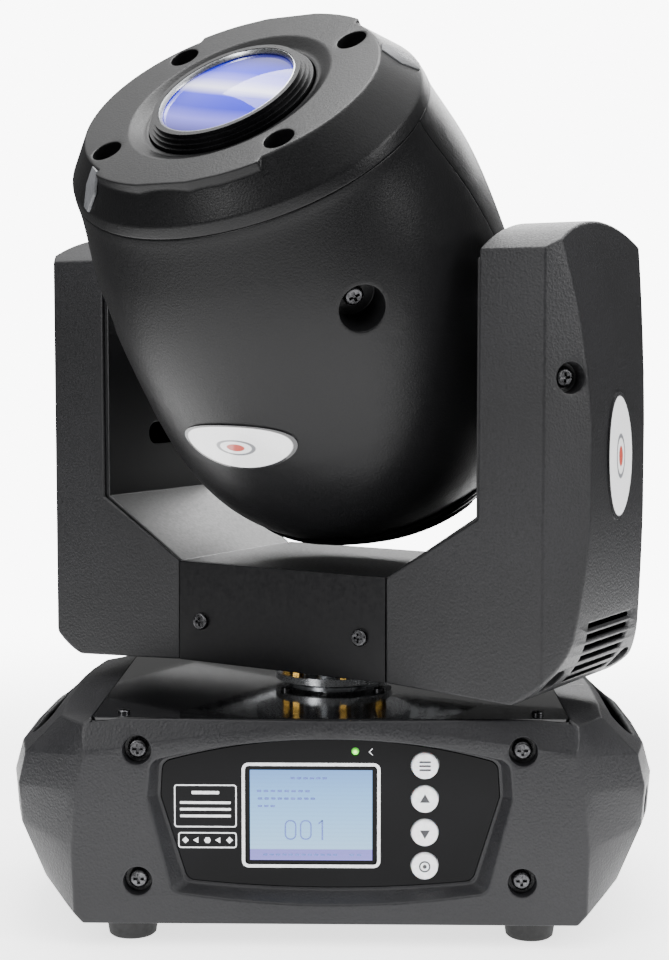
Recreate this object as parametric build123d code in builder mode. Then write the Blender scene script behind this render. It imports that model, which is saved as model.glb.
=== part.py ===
from build123d import *
import os
from math import atan2, cos, degrees, radians, sin

# Moving head light, in millimetres. Z is up, the display side faces -Y, and the
# origin is on the floor under the pan axis. The base is modelled where it stands.
# The yoke is modelled with its arms along X and the head with its optical axis
# along Z about the tilt axis, and both are then placed in their rest pose.

# ---- driving dimensions ----
pan_rest = 31.0
tilt_rest = 40.0
tilt_axis_height = 289.0

base_half_depth = 96.6
base_floor = 11.5
base_top = 108.4
cover_wall = 2.6
top_plate_half_width = 111.6
top_plate_half_depth = 91.0
top_plate_thickness = 2.0
foot_x = 95.4
foot_y = 74.0
foot_radius = 13.0
cover_screw_x = 90.0
cover_screw_heights = (32.0, 94.1)

fascia_y = -89.0
fascia_thickness = 2.5
lcd_width = 57.6
lcd_height = 43.2
lcd_centre = (-8.9, 61.7)
button_radius = 6.3
button_x = 44.6
button_heights = (86.0, 70.0, 54.0, 38.0)
button_travel = 0.8

yoke_half_depth = 51.1
arm_inner = 109.7
arm_front_outer = 142.5
arm_outer = 157.0
arm_corner_height = 326.0
arm_top = 340.0
arm_wall = 2.5
yoke_bottom = 118.5
seam_x = 61.2
seam_bottom = 122.0
yoke_floor = 172.8
gusset_top = 203.2
sheet = 2.0
frame_half_depth = 48.8
belt_width = 6.0
belt_thickness = 1.4
belt_gap = 0.4

pan_shaft_radius = 15.0
pan_bearing_radius = 23.5
pan_pulley_radius = 45.0
pan_pulley_teeth = 96
pan_belt_height = 54.0
pan_motor_place = (62.0, 20.0)
motor_pulley_radius = 7.5
motor_pulley_teeth = 16
motor_size = 42.3
running_fit = 0.04

trunnion_radius = 14.0
tilt_bearing_radius = 21.0
tilt_pulley_radius = 37.5
tilt_pulley_teeth = 80
tilt_belt_x = 126.0
tilt_motor_height = 151.0

bezel_seam = 119.0
bezel_plate = 142.0
shell_wall = 2.5
head_sections = ((119.0, 92.0, 79.6), (82.0, 96.5, 91.5), (42.0, 98.5, 99.0), (0.0, 98.0, 101.5),
                 (-40.0, 94.0, 96.0), (-72.0, 82.0, 79.0), (-94.0, 64.0, 56.0), (-102.0, 50.0, 42.0))
bezel_hole_x = 48.0
bezel_hole_y = 39.4
bezel_hole_radius = 7.0
lens_radius = 34.0
lens_seat = 132.0
lens_rim = 145.5
barrel_radius = 41.0
head_pocket = (74.0, 65.0, 66.0)
wheel_radius = 46.0
wheel_offset = 36.0

base_pose = Location()
yoke_pose = Location((0, 0, 0), (0, 0, -pan_rest))
head_pose = yoke_pose * Location((0, 0, tilt_axis_height), (tilt_rest, 0, 0))


def save(piece, label, pose):
    """Name a finished piece and write it in its rest pose."""
    piece.part.label = label
    export_step(piece.part.moved(pose), f"parts/{label}.step")


def screw_solid(plane, head_radius, head_height, shank_radius, length):
    """Pan head screw with a cross recess; its head stands on the plane."""
    with BuildPart() as screw:
        with BuildSketch(plane):
            Circle(head_radius)
        extrude(amount=head_height)
        fillet(screw.edges().filter_by(GeomType.CIRCLE).sort_by(
            lambda edge: (edge.center() - plane.origin).dot(plane.z_dir))[-1], head_height * 0.45)
        with BuildSketch(plane.offset(head_height)):
            Rectangle(head_radius * 1.1, head_radius * 0.3)
            Rectangle(head_radius * 0.3, head_radius * 1.1)
        extrude(amount=-head_height * 0.6, mode=Mode.SUBTRACT)
        with BuildSketch(plane):
            Circle(shank_radius)
        extrude(amount=-length)
    return screw.part


# ---- base covers ----

base_outline = {
    base_half_depth: ((116, base_floor), (120, 16), (121, 48), (118.5, 75), (115, 91), (112.5, 105)),
    74.0: ((120, base_floor), (137, 27), (148.5, 54), (150, 73), (146.5, 88), (129, 106)),
    45.0: ((122, base_floor), (142, 27), (155.5, 54), (157, 73), (153, 88), (131, 107)),
    0.0: ((123, base_floor), (144, 27), (157.5, 54), (158.5, 73), (154, 88), (132, 107)),
}


def base_section(half_depth, drop=0.0):
    """Section of the base across its width, as one closed outline."""
    right = base_outline[half_depth]
    points = [(112 - drop, base_top)] + [(x, z) for x, z in reversed(right)]
    points += [(-x, z) for x, z in right] + [(-112 + drop, base_top)]
    with BuildSketch(Plane.XZ.offset(half_depth)) as section:
        with BuildLine():
            Polyline(*points, close=True)
        make_face()
        if drop:
            offset(amount=-drop, kind=Kind.INTERSECTION)
    return section.sketch


def base_half_solid():
    """Front half of the base's outer form, lofted from facet to facet."""
    depths = sorted(base_outline, reverse=True)
    with BuildPart() as solid:
        for outer, inner in zip(depths[:-1], depths[1:]):
            loft([base_section(outer), base_section(inner)], ruled=True)
    return solid.part


def brow_wedge(inset):
    """Material above the slanted brow facet that runs down to the right over the display bay."""
    along = Vector(85, 0, 11.6)
    back = Vector(0, 5.6, 14.1)
    brow = Plane(origin=(-37, -base_half_depth, 103.6), x_dir=along, z_dir=along.cross(back))
    with BuildPart() as wedge:
        with BuildSketch(brow.offset(-inset)):
            Rectangle(300, 60)
        extrude(amount=20)
    return wedge.part


def base_half_cavity():
    """Space inside the front half shell, one wall thickness in from its outer form."""
    depths = sorted(base_outline, reverse=True)
    with BuildPart() as cavity:
        for outer, inner in zip(depths[:-1], depths[1:]):
            shift = Location((0, cover_wall if outer == base_half_depth else 0, 0))
            loft([base_section(outer, cover_wall).moved(shift), base_section(inner, cover_wall)],
                 ruled=True)
        for wedge in (brow_wedge(cover_wall), brow_wedge(cover_wall).mirror(Plane.YZ)):
            add(wedge, mode=Mode.SUBTRACT)
    return cavity.part


def pocket_cup(plane, radius, start, depth, body):
    """Wall material of a round screw pocket, trimmed to the body's outer form."""
    with BuildPart() as cup:
        with BuildSketch(plane.offset(start)):
            Circle(radius)
        extrude(amount=-depth)
        add(body, mode=Mode.INTERSECT)
    return cup.part


def base_half_shell():
    """Front half of the base shell: faceted outside, open underneath and on top for the plate."""
    outer_form = base_half_solid()
    with BuildPart() as shell:
        add(outer_form)
        add(base_half_cavity(), mode=Mode.SUBTRACT)
        with BuildSketch(Plane.XY.offset(base_floor - 1)):
            Rectangle(2 * foot_x + 42, 2 * (base_half_depth - 6))
        extrude(amount=6, mode=Mode.SUBTRACT)
        with BuildSketch(Plane.XY.offset(base_top - top_plate_thickness - 0.2)):
            Rectangle(2 * top_plate_half_width + 0.6, 2 * top_plate_half_depth + 0.6)
        extrude(amount=10, mode=Mode.SUBTRACT)
        with BuildSketch(Plane.XY.offset(base_top - 4.5)):
            Rectangle(2 * top_plate_half_width - 8, 2 * top_plate_half_depth - 8)
        extrude(amount=20, mode=Mode.SUBTRACT)
        for side in (-1, 1):
            grip = Plane(origin=(side * 143.5, 0, 97.5), x_dir=(0, 1, 0), z_dir=(side * 19, 0, 22))
            with BuildSketch(grip.offset(6)):
                SlotOverall(104, 15)
            extrude(amount=-14, mode=Mode.SUBTRACT)
            pocket = Plane(origin=(side * 150.5, -58, 62), x_dir=(0, 1, 0), z_dir=(side * 3, -1, 0))
            add(pocket_cup(pocket, 9.5, 5, 15, outer_form))
            with BuildSketch(pocket.offset(6)):
                Circle(7.5)
            extrude(amount=-14, mode=Mode.SUBTRACT)
            with BuildSketch(pocket):
                Circle(2.4)
            extrude(amount=-20, mode=Mode.SUBTRACT)
        add(screw_pockets())
        for wedge in (brow_wedge(0), brow_wedge(0).mirror(Plane.YZ)):
            add(wedge, mode=Mode.SUBTRACT)
        with Locations(*[(side * cover_screw_x, -base_half_depth, z)
                         for side in (-1, 1) for z in cover_screw_heights]):
            Cylinder(6.6, 14, rotation=(90, 0, 0), mode=Mode.SUBTRACT)
            Cylinder(2.2, 40, rotation=(90, 0, 0), mode=Mode.SUBTRACT)
    return shell.part.solids().sort_by(SortBy.VOLUME)[-1]


def screw_pockets():
    """Closed cups behind the four round screw recesses of one cover."""
    with BuildPart() as cups:
        with BuildSketch(Plane.XZ.offset(base_half_depth - 1.5)):
            with Locations(*[(side * cover_screw_x, z) for side in (-1, 1) for z in cover_screw_heights]):
                Circle(8.8)
        extrude(amount=-8)
    with BuildPart() as limit:
        with BuildSketch(Plane.XZ.offset(base_half_depth - 1.5)):
            Rectangle(2 * (cover_screw_x + 9), 400)
        extrude(amount=-8)
        with BuildSketch(Plane.XY.offset(base_top - 3.5)):
            Rectangle(400, 400)
        extrude(amount=20, mode=Mode.SUBTRACT)
    return cups.part & limit.part


def bay_outline(depth, inset):
    """Arched outline of the display bay on a plane facing forward."""
    with BuildSketch(Plane.XZ.offset(depth)) as outline:
        with BuildLine():
            Line((-74, 27), (-85.5, 72))
            Line((-85.5, 72), (-84, 89))
            ThreePointArc((-84, 89), (0, 99.5), (84, 89))
            Line((84, 89), (85.5, 72))
            Line((85.5, 72), (74, 27))
            ThreePointArc((74, 27), (0, 21), (-74, 27))
        make_face()
        fillet(outline.vertices().group_by(Axis.Z)[-1], 6)
        if inset:
            offset(amount=-inset, kind=Kind.INTERSECTION)
    return outline.sketch


def fascia_outline(depth, gap):
    """Outline of the glossy fascia, which keeps its own curve inside the bay, grown by the gap."""
    low, middle, high = 67 + gap, 79.5 + gap, 78.5 + gap
    low_z, high_z = 31 - gap, 87 + gap
    with BuildSketch(Plane.XZ.offset(depth)) as outline:
        with BuildLine():
            Line((-low, low_z), (-middle, 71))
            Line((-middle, 71), (-high, high_z))
            ThreePointArc((-high, high_z), (0, high_z + 11), (high, high_z))
            Line((high, high_z), (middle, 71))
            Line((middle, 71), (low, low_z))
            ThreePointArc((low, low_z), (0, low_z - 3.5), (-low, low_z))
        make_face()
        fillet(outline.vertices().group_by(Axis.Z)[-1], 5)
    return outline.sketch


def base_front_cover():
    """Front half shell with the sunk bay that frames the display fascia."""
    fascia_back = fascia_y + fascia_thickness
    with BuildPart() as cover:
        add(base_half_shell())
        with BuildSketch(Plane.XZ.offset(base_half_depth - 0.6)):
            add(bay_outline(0, -2.4).faces()[0])
        extrude(amount=-(base_half_depth - 0.6 + fascia_back) - 2.0)
        loft([bay_outline(base_half_depth + 0.01, 0), fascia_outline(-fascia_y, 1.5)], ruled=True,
             mode=Mode.SUBTRACT)
        with BuildSketch(Plane.XZ.offset(-fascia_y + 0.02)):
            add(fascia_outline(0, 0.2).faces()[0])
        extrude(amount=-fascia_thickness - 0.04, mode=Mode.SUBTRACT)
        with BuildSketch(Plane.XZ.offset(-fascia_y)):
            add(fascia_outline(0, -1.0).faces()[0])
        extrude(amount=-10, mode=Mode.SUBTRACT)
        with BuildSketch(Plane.XY.offset(base_top - top_plate_thickness - 0.2)):
            Rectangle(2 * top_plate_half_width + 0.6, 2 * top_plate_half_depth + 0.6)
        extrude(amount=10, mode=Mode.SUBTRACT)
    save(cover, "base_front_cover", base_pose)


rear_panel_size = (150.0, 56.0)
rear_panel_height = 56.0
eye_half_width = 9.0
eye_height = 94.0
eye_rod_radius = 2.4


def base_rear_cover():
    """Rear half shell with the window for the connector panel."""
    with BuildPart() as cover:
        add(base_half_shell().mirror(Plane.XZ))
        with BuildSketch(Plane.XZ.offset(-base_half_depth - 1)):
            with Locations((0, rear_panel_height)):
                RectangleRounded(*rear_panel_size, 4)
            with Locations((-eye_half_width, eye_height), (eye_half_width, eye_height)):
                Circle(eye_rod_radius + 0.1)
        extrude(amount=10, mode=Mode.SUBTRACT)
    save(cover, "base_rear_cover", base_pose)


# ---- base metalwork and feet ----

def base_tray():
    """Steel bottom tray with turned up flanges and the quarter turn holes for clamp brackets."""
    with BuildPart() as tray:
        with BuildSketch(Plane.XY.offset(base_floor)):
            Rectangle(2 * foot_x + 40, 2 * (base_half_depth - 7))
        extrude(amount=1.5)
        with Locations((0, 0, base_floor)):
            with GridLocations(2 * 91, 2 * (base_half_depth - 13), 2, 2):
                Box(16, 1.5, 28, align=(Align.CENTER, Align.CENTER, Align.MIN))
        with Locations((0, 0, base_floor)):
            with GridLocations(106, 70, 2, 2):
                Hole(radius=4.2, depth=10)
            with GridLocations(2 * foot_x, 2 * foot_y, 2, 2):
                Hole(radius=2.2, depth=10)
        with BuildSketch(Plane.XY.offset(base_floor - 1)):
            with GridLocations(9, 1, 12, 1):
                SlotOverall(44, 3, rotation=90)
        extrude(amount=4, mode=Mode.SUBTRACT)
    save(tray, "base_tray", base_pose)


def base_feet():
    """Four moulded rubber feet, each dished at the middle."""
    with BuildPart() as feet:
        with GridLocations(2 * foot_x, 2 * foot_y, 2, 2):
            Cone(foot_radius - 1.8, foot_radius, base_floor,
                 align=(Align.CENTER, Align.CENTER, Align.MIN))
        chamfer(feet.edges().group_by(Axis.Z)[0], 0.8)
        with GridLocations(2 * foot_x, 2 * foot_y, 2, 2):
            Cylinder(4.0, 6, align=(Align.CENTER, Align.CENTER, Align.MIN), mode=Mode.SUBTRACT)
    save(feet, "base_feet", base_pose)


def base_top_plate():
    """Glossy steel top plate with turned down flanges and the pan bearing bore."""
    with BuildPart() as plate:
        with BuildSketch(Plane.XY.offset(base_top - top_plate_thickness)):
            Rectangle(2 * top_plate_half_width, 2 * top_plate_half_depth)
            Circle(pan_bearing_radius, mode=Mode.SUBTRACT)
        extrude(amount=top_plate_thickness)
        fillet(plate.edges().filter_by(Axis.Z).filter_by(
            lambda edge: abs(edge.center().X) > 100), 3)
        for side in (-1, 1):
            with BuildSketch(Plane.XY.offset(base_top - top_plate_thickness)):
                with Locations((0, side * (top_plate_half_depth - 8))):
                    Rectangle(60, 1.5)
            extrude(amount=-18)
        with BuildSketch(Plane.XY.offset(base_top)):
            with GridLocations(2 * 98, 2 * 80, 2, 2):
                Circle(1.7)
            with PolarLocations(33, 4, start_angle=45):
                Circle(1.7)
        extrude(amount=-top_plate_thickness, mode=Mode.SUBTRACT)
    save(plate, "base_top_plate", base_pose)


def base_screws():
    """Cover screws in their recesses, and the small screws of the top plate."""
    cover_head = 3.6
    with BuildPart() as screws:
        for side in (-1, 1):
            for x in (-cover_screw_x, cover_screw_x):
                for z in cover_screw_heights:
                    seat = Plane(origin=(x, side * (base_half_depth - 7), z), x_dir=(1, 0, 0),
                                 z_dir=(0, side, 0))
                    add(screw_solid(seat, 4.6, cover_head, 2.0, 5.0))
        for x in (-98, 98):
            for y in (-80, 80):
                add(screw_solid(Plane.XY.offset(base_top).move(Location((x, y, 0))), 3.0, 1.6, 1.6, 4.0))
        for angle in (45, 135, 225, 315):
            place = Location((33 * cos(radians(angle)), 33 * sin(radians(angle)), 0))
            add(screw_solid(Plane.XY.offset(base_top).move(place), 3.0, 1.6, 1.6, 2.0))
    save(screws, "base_screws", base_pose)


# ---- display and controls ----

def display_fascia():
    """Glossy fascia with its window for the screen and the four button holes."""
    with BuildPart() as fascia:
        with BuildSketch(Plane.XZ.offset(-fascia_y)):
            add(fascia_outline(0, 0).faces()[0])
        extrude(amount=-fascia_thickness)
        with BuildSketch(Plane.XZ.offset(-fascia_y)):
            with Locations(lcd_centre):
                RectangleRounded(lcd_width + 4, lcd_height + 4, 2)
            with Locations(*[(button_x, z) for z in button_heights]):
                Circle(button_radius + 0.4)
            with Locations((11.9, 92.2)):
                Circle(2.0)
        extrude(amount=-fascia_thickness, mode=Mode.SUBTRACT)
    save(fascia, "display_fascia", base_pose)


def lcd_module():
    """Colour screen: glass in the window, on its metal backed module."""
    with BuildPart() as lcd:
        with BuildSketch(Plane.XZ.offset(-fascia_y - 0.5)):
            with Locations(lcd_centre):
                RectangleRounded(lcd_width + 3.4, lcd_height + 3.4, 1.7)
        extrude(amount=-2.1)
        with BuildSketch(Plane.XZ.offset(-fascia_y - fascia_thickness - 0.1)):
            with Locations(lcd_centre):
                Rectangle(lcd_width + 12, lcd_height + 6)
        extrude(amount=-2.6)
    save(lcd, "lcd_module", base_pose)


def display_board():
    """Display board with the tact switches behind the buttons."""
    board_y = fascia_y + fascia_thickness + 5.6
    with BuildPart() as board:
        with BuildSketch(Plane.XZ.offset(-board_y)):
            with Locations((8, 61)):
                Rectangle(108, 56)
        extrude(amount=-1.6)
        with BuildSketch(Plane.XZ.offset(-board_y)):
            with Locations(*[(button_x, z) for z in button_heights]):
                Rectangle(6, 6)
        extrude(amount=3.0)
        with BuildSketch(Plane.XZ.offset(-board_y - 1.6)):
            with Locations((-8, 61)):
                Rectangle(22, 22)
            with Locations((28, 46), (28, 76)):
                Rectangle(18, 8)
        extrude(amount=-2.4)
    save(board, "display_board", base_pose)


def push_button(label, height):
    """Round push button with a retaining flange behind the fascia and a plunger."""
    front = Plane(origin=(button_x, fascia_y - 2.2, height), x_dir=(1, 0, 0), z_dir=(0, -1, 0))
    with BuildPart() as button:
        with BuildSketch(front):
            Circle(button_radius)
        extrude(amount=-2.2 - fascia_thickness - 0.3)
        fillet(button.edges().sort_by(Axis.Y)[0], 0.9)
        with BuildSketch(front.offset(-2.2 - fascia_thickness - 0.1)):
            Circle(button_radius + 0.7)
        extrude(amount=-1.0)
        with BuildSketch(front.offset(-2.2 - fascia_thickness - 0.3)):
            Circle(1.6)
        extrude(amount=-1.2)
    save(button, label, base_pose)


def status_led():
    """Green status lamp standing in its hole in the fascia."""
    with BuildPart() as lamp:
        with BuildSketch(Plane.XZ.offset(-fascia_y - 1.0)):
            with Locations((11.9, 92.2)):
                Circle(1.6)
        extrude(amount=1.3)
        fillet(lamp.edges().sort_by(Axis.Y)[0], 0.8)
        with BuildSketch(Plane.XZ.offset(-fascia_y - 1.0)):
            with Locations((11.9, 92.2)):
                Circle(1.8)
        extrude(amount=-4.0)
    save(lamp, "status_led", base_pose)


# ---- base electrics ----

def power_supply():
    """Switch mode supply in a perforated steel case."""
    with BuildPart() as supply:
        with Locations((-62, 6, base_floor + 3.0)):
            Box(78, 96, 34, align=(Align.CENTER, Align.CENTER, Align.MIN))
        chamfer(supply.edges().filter_by(Axis.Y), 1.5)
        with BuildSketch(Plane.XY.offset(base_floor + 37)):
            with Locations((-62, 6)):
                with GridLocations(8, 9, 8, 9):
                    Circle(2.4)
        extrude(amount=-2, mode=Mode.SUBTRACT)
        with Locations((-62, -44, base_floor + 8)):
            Box(60, 8, 12, align=(Align.CENTER, Align.CENTER, Align.MIN))
    save(supply, "power_supply", base_pose)


def control_board():
    """Main control board with its processor, drivers and connectors, on the tray."""
    floor_z = base_floor + 8
    with BuildPart() as board:
        with Locations((60, -22, floor_z)):
            Box(84, 84, 1.6, align=(Align.CENTER, Align.CENTER, Align.MIN))
        with Locations((60, -22, floor_z)):
            with GridLocations(74, 74, 2, 2):
                Cylinder(2.5, floor_z - base_floor - 1.5, align=(Align.CENTER, Align.CENTER, Align.MAX))
        with Locations((48, -30, floor_z + 1.6)):
            Box(14, 14, 1.6, align=(Align.CENTER, Align.CENTER, Align.MIN))
        with Locations((76, -22, floor_z + 1.6)):
            with GridLocations(10, 16, 1, 4):
                Box(9, 12, 4, align=(Align.CENTER, Align.CENTER, Align.MIN))
        with Locations((32, -50, floor_z + 1.6), (32, -34, floor_z + 1.6)):
            Cylinder(5, 14, align=(Align.CENTER, Align.CENTER, Align.MIN))
    save(board, "control_board", base_pose)


def stepper(plane, length, boss_length):
    """Stepper motor body whose flange face lies on the plane, with its centring boss."""
    with BuildPart() as motor:
        with BuildSketch(plane):
            RectangleRounded(motor_size, motor_size, 4)
        extrude(amount=-length)
        with BuildSketch(plane.offset(-9)):
            Rectangle(motor_size + 2, motor_size + 2)
            RectangleRounded(motor_size - 1.6, motor_size - 1.6, 6, mode=Mode.SUBTRACT)
        extrude(amount=-(length - 18), mode=Mode.SUBTRACT)
        with BuildSketch(plane):
            Circle(11)
            Circle(4.5, mode=Mode.SUBTRACT)
        extrude(amount=boss_length)
        with BuildSketch(plane.offset(boss_length)):
            Circle(4.5)
        extrude(amount=-boss_length - 6, mode=Mode.SUBTRACT)
    return motor.part


def pan_motor():
    """Pan stepper hung under the top plate on four standoffs, shaft end down."""
    face = Plane(origin=(*pan_motor_place, 66.0), x_dir=(1, 0, 0), z_dir=(0, 0, -1))
    with BuildPart() as motor:
        add(stepper(face, 34, 2))
        with BuildSketch(Plane.XY.offset(66 + 34)):
            with Locations(pan_motor_place):
                with GridLocations(31, 31, 2, 2):
                    Circle(3)
        extrude(amount=base_top - top_plate_thickness - 100)
    save(motor, "pan_motor", base_pose)


def toothed_disc(radius, teeth, plane):
    """Timing pulley section: a disc with shallow round grooves between its teeth."""
    with BuildSketch(plane) as disc:
        Circle(radius)
        with PolarLocations(radius + 0.25, teeth):
            Circle(0.85, mode=Mode.SUBTRACT)
    return disc.sketch


def motor_pulley(label, plane, shaft_length, pose):
    """Small motor pulley with two flanges, on the motor's own shaft."""
    with BuildPart() as pulley:
        extrude(toothed_disc(motor_pulley_radius, motor_pulley_teeth, plane), amount=belt_width + 1.6)
        for start in (-1.2, belt_width + 1.6):
            with BuildSketch(plane.offset(start)):
                Circle(motor_pulley_radius + 2.2)
            extrude(amount=1.2)
        with BuildSketch(plane.offset(-1.2)):
            Circle(2.5)
        extrude(amount=-shaft_length)
    save(pulley, label, pose)


def drive_belt(label, plane, distance, direction, radius, pose):
    """Closed timing belt around a large pulley and the motor pulley."""
    small = Location((distance * cos(radians(direction)), distance * sin(radians(direction)), 0))
    with BuildSketch(plane) as outside:
        Circle(radius + belt_gap + belt_thickness)
        with Locations(small):
            Circle(motor_pulley_radius + belt_gap + belt_thickness)
        make_hull()
    with BuildSketch(plane) as inside:
        Circle(radius + belt_gap)
        with Locations(small):
            Circle(motor_pulley_radius + belt_gap)
        make_hull()
    with BuildPart() as belt:
        with BuildSketch(plane):
            add(outside.sketch_local)
            add(inside.sketch_local, mode=Mode.SUBTRACT)
        extrude(amount=belt_width)
    save(belt, label, pose)


def pan_bearing():
    """Pan bearing ring in its flanged housing, bolted under the top plate."""
    with BuildPart() as bearing:
        with BuildSketch(Plane.XY.offset(base_top - top_plate_thickness)):
            Circle(38)
            Circle(pan_shaft_radius + running_fit, mode=Mode.SUBTRACT)
        extrude(amount=-5)
        with BuildSketch(Plane.XY.offset(base_top - top_plate_thickness - 5)):
            Circle(pan_bearing_radius + 3)
            Circle(pan_shaft_radius + running_fit, mode=Mode.SUBTRACT)
        extrude(amount=-14)
        with BuildSketch(Plane.XY.offset(base_top - top_plate_thickness)):
            Circle(pan_bearing_radius - 0.1)
            Circle(pan_shaft_radius + running_fit, mode=Mode.SUBTRACT)
        extrude(amount=3)
        with BuildSketch(Plane.XY.offset(base_top - top_plate_thickness)):
            with PolarLocations(33, 4, start_angle=45):
                Circle(1.7)
        extrude(amount=-5, mode=Mode.SUBTRACT)
        chamfer(bearing.edges().filter_by(GeomType.CIRCLE).group_by(Axis.Z)[0], 1.0)
    save(bearing, "pan_bearing", base_pose)


# ---- rear connectors ----

def rear_plane(x, z, out=0.0):
    """Plane on the rear face of the connector panel, facing backwards."""
    return Plane(origin=(x, base_half_depth - 2 + out, z), x_dir=(-1, 0, 0), z_dir=(0, 1, 0))


inlet_place = (-52.0, 50.0)
dmx_input_place = (6.0, 50.0)
dmx_output_place = (40.0, 50.0)
fuse_place = (-20.0, 42.0)
rocker_place = (-20.0, 66.0)
rocker_rest = 8.0
dmx_radius = 12.0


def rear_panel():
    """Steel connector panel behind the window of the rear cover."""
    with BuildPart() as panel:
        with BuildSketch(rear_plane(0, rear_panel_height, -2.4)):
            Rectangle(rear_panel_size[0] + 12, rear_panel_size[1] + 10)
        extrude(amount=1.6)
        with BuildSketch(rear_plane(0, 0, -3)):
            with Locations((-inlet_place[0], inlet_place[1])):
                RectangleRounded(28.6, 25.6, 2)
            with Locations((-dmx_input_place[0], dmx_input_place[1]),
                           (-dmx_output_place[0], dmx_output_place[1])):
                Circle(dmx_radius + 0.2)
            with Locations((-fuse_place[0], fuse_place[1])):
                Circle(6.2)
            with Locations((-rocker_place[0], rocker_place[1])):
                Rectangle(19.4, 13.2)
        extrude(amount=4, mode=Mode.SUBTRACT)
        with BuildSketch(rear_plane(0, rear_panel_height, -3)):
            with Locations((-62, 0)):
                with GridLocations(1, 6, 1, 6):
                    SlotOverall(16, 2.6)
        extrude(amount=4, mode=Mode.SUBTRACT)
    save(panel, "rear_panel", base_pose)


def power_inlet():
    """Three pin mains inlet with its flange and recessed pins."""
    face = rear_plane(*inlet_place, -0.8)
    with BuildPart() as inlet:
        with BuildSketch(face):
            RectangleRounded(40, 31, 3)
        extrude(amount=2.2)
        with BuildSketch(face):
            RectangleRounded(28, 25, 2)
        extrude(amount=-24)
        with BuildSketch(face.offset(2.2)):
            RectangleRounded(24, 17, 3)
        extrude(amount=-17, mode=Mode.SUBTRACT)
        with BuildSketch(face.offset(-15)):
            with Locations((-7, -2), (7, -2), (0, 3)):
                Rectangle(2, 5)
        extrude(amount=11)
        with BuildSketch(face.offset(2.2)):
            with Locations((-17, 0), (17, 0)):
                Circle(1.7)
        extrude(amount=-2.2, mode=Mode.SUBTRACT)
    save(inlet, "power_inlet", base_pose)


def dmx_input():
    """Three pin data inlet: open barrel with three contact pins."""
    face = rear_plane(*dmx_input_place, -0.8)
    with BuildPart() as socket:
        with BuildSketch(face):
            RectangleRounded(26, 31, 3)
        extrude(amount=1.8)
        with BuildSketch(face):
            Circle(dmx_radius)
        extrude(amount=-20)
        with BuildSketch(face.offset(1.8)):
            Circle(8.3)
        extrude(amount=-16, mode=Mode.SUBTRACT)
        with BuildSketch(face.offset(-14.2)):
            with Locations((-3.5, 2.5), (3.5, 2.5), (0, -3.5)):
                Circle(1.2)
        extrude(amount=11)
    save(socket, "dmx_input", base_pose)


def dmx_output():
    """Three pin data outlet: insert with three sockets and a latch tab."""
    face = rear_plane(*dmx_output_place, -0.8)
    with BuildPart() as socket:
        with BuildSketch(face):
            RectangleRounded(26, 31, 3)
        extrude(amount=1.8)
        with BuildSketch(face):
            Circle(dmx_radius)
        extrude(amount=-20)
        with BuildSketch(face.offset(1.8)):
            Circle(9.7)
            Circle(7.6, mode=Mode.SUBTRACT)
        extrude(amount=-14, mode=Mode.SUBTRACT)
        with BuildSketch(face.offset(1.8)):
            with Locations((-3.5, -2.5), (3.5, -2.5), (0, 3.5)):
                Circle(1.3)
        extrude(amount=-10, mode=Mode.SUBTRACT)
        with BuildSketch(face.offset(1.8)):
            with Locations((0, 12.4)):
                RectangleRounded(8, 3, 1)
        extrude(amount=0.9)
    save(socket, "dmx_output", base_pose)


def fuse_holder():
    """Screw cap fuse holder with a coin slot."""
    face = rear_plane(*fuse_place, -0.8)
    with BuildPart() as holder:
        with BuildSketch(face):
            Circle(7.6)
        extrude(amount=2.0)
        with BuildSketch(face.offset(2.0)):
            Circle(5.6)
        extrude(amount=2.0)
        with BuildSketch(face):
            Circle(6.0)
        extrude(amount=-26)
        with BuildSketch(face.offset(4.0)):
            Rectangle(8.4, 1.4)
        extrude(amount=-1.6, mode=Mode.SUBTRACT)
    save(holder, "fuse_holder", base_pose)


def switch_frame():
    """Frame of the power switch, which carries the rocker."""
    face = rear_plane(*rocker_place, -0.8)
    with BuildPart() as frame:
        with BuildSketch(face):
            RectangleRounded(21.5, 15.0, 1)
        extrude(amount=1.8)
        with BuildSketch(face):
            Rectangle(19.0, 12.8)
        extrude(amount=-15)
        with BuildSketch(face.offset(1.8)):
            Rectangle(16.4, 10.6)
        extrude(amount=-11, mode=Mode.SUBTRACT)
    save(frame, "switch_frame", base_pose)


def power_rocker():
    """Rocker of the power switch, turning about a pin across the frame."""
    pin = Plane(origin=(rocker_place[0], base_half_depth - 2.4, rocker_place[1]),
                x_dir=(-sin(radians(rocker_rest)), cos(radians(rocker_rest)), 0), z_dir=(0, 0, 1))
    with BuildPart() as rocker:
        with BuildSketch(pin):
            with BuildLine():
                Polyline((4.6, 7.0), (2.6, 0.0), (4.6, -7.0), (0.6, -7.4), (-3.2, -3.4), (-3.2, 3.4),
                         (0.6, 7.4), close=True)
            make_face()
        extrude(amount=4.9, both=True)
        edges = rocker.edges().filter_by(Axis.Z)
        fillet(edges.sort_by(Axis.Y)[-3:], 0.5)
    save(rocker, "power_rocker", base_pose)


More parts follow.
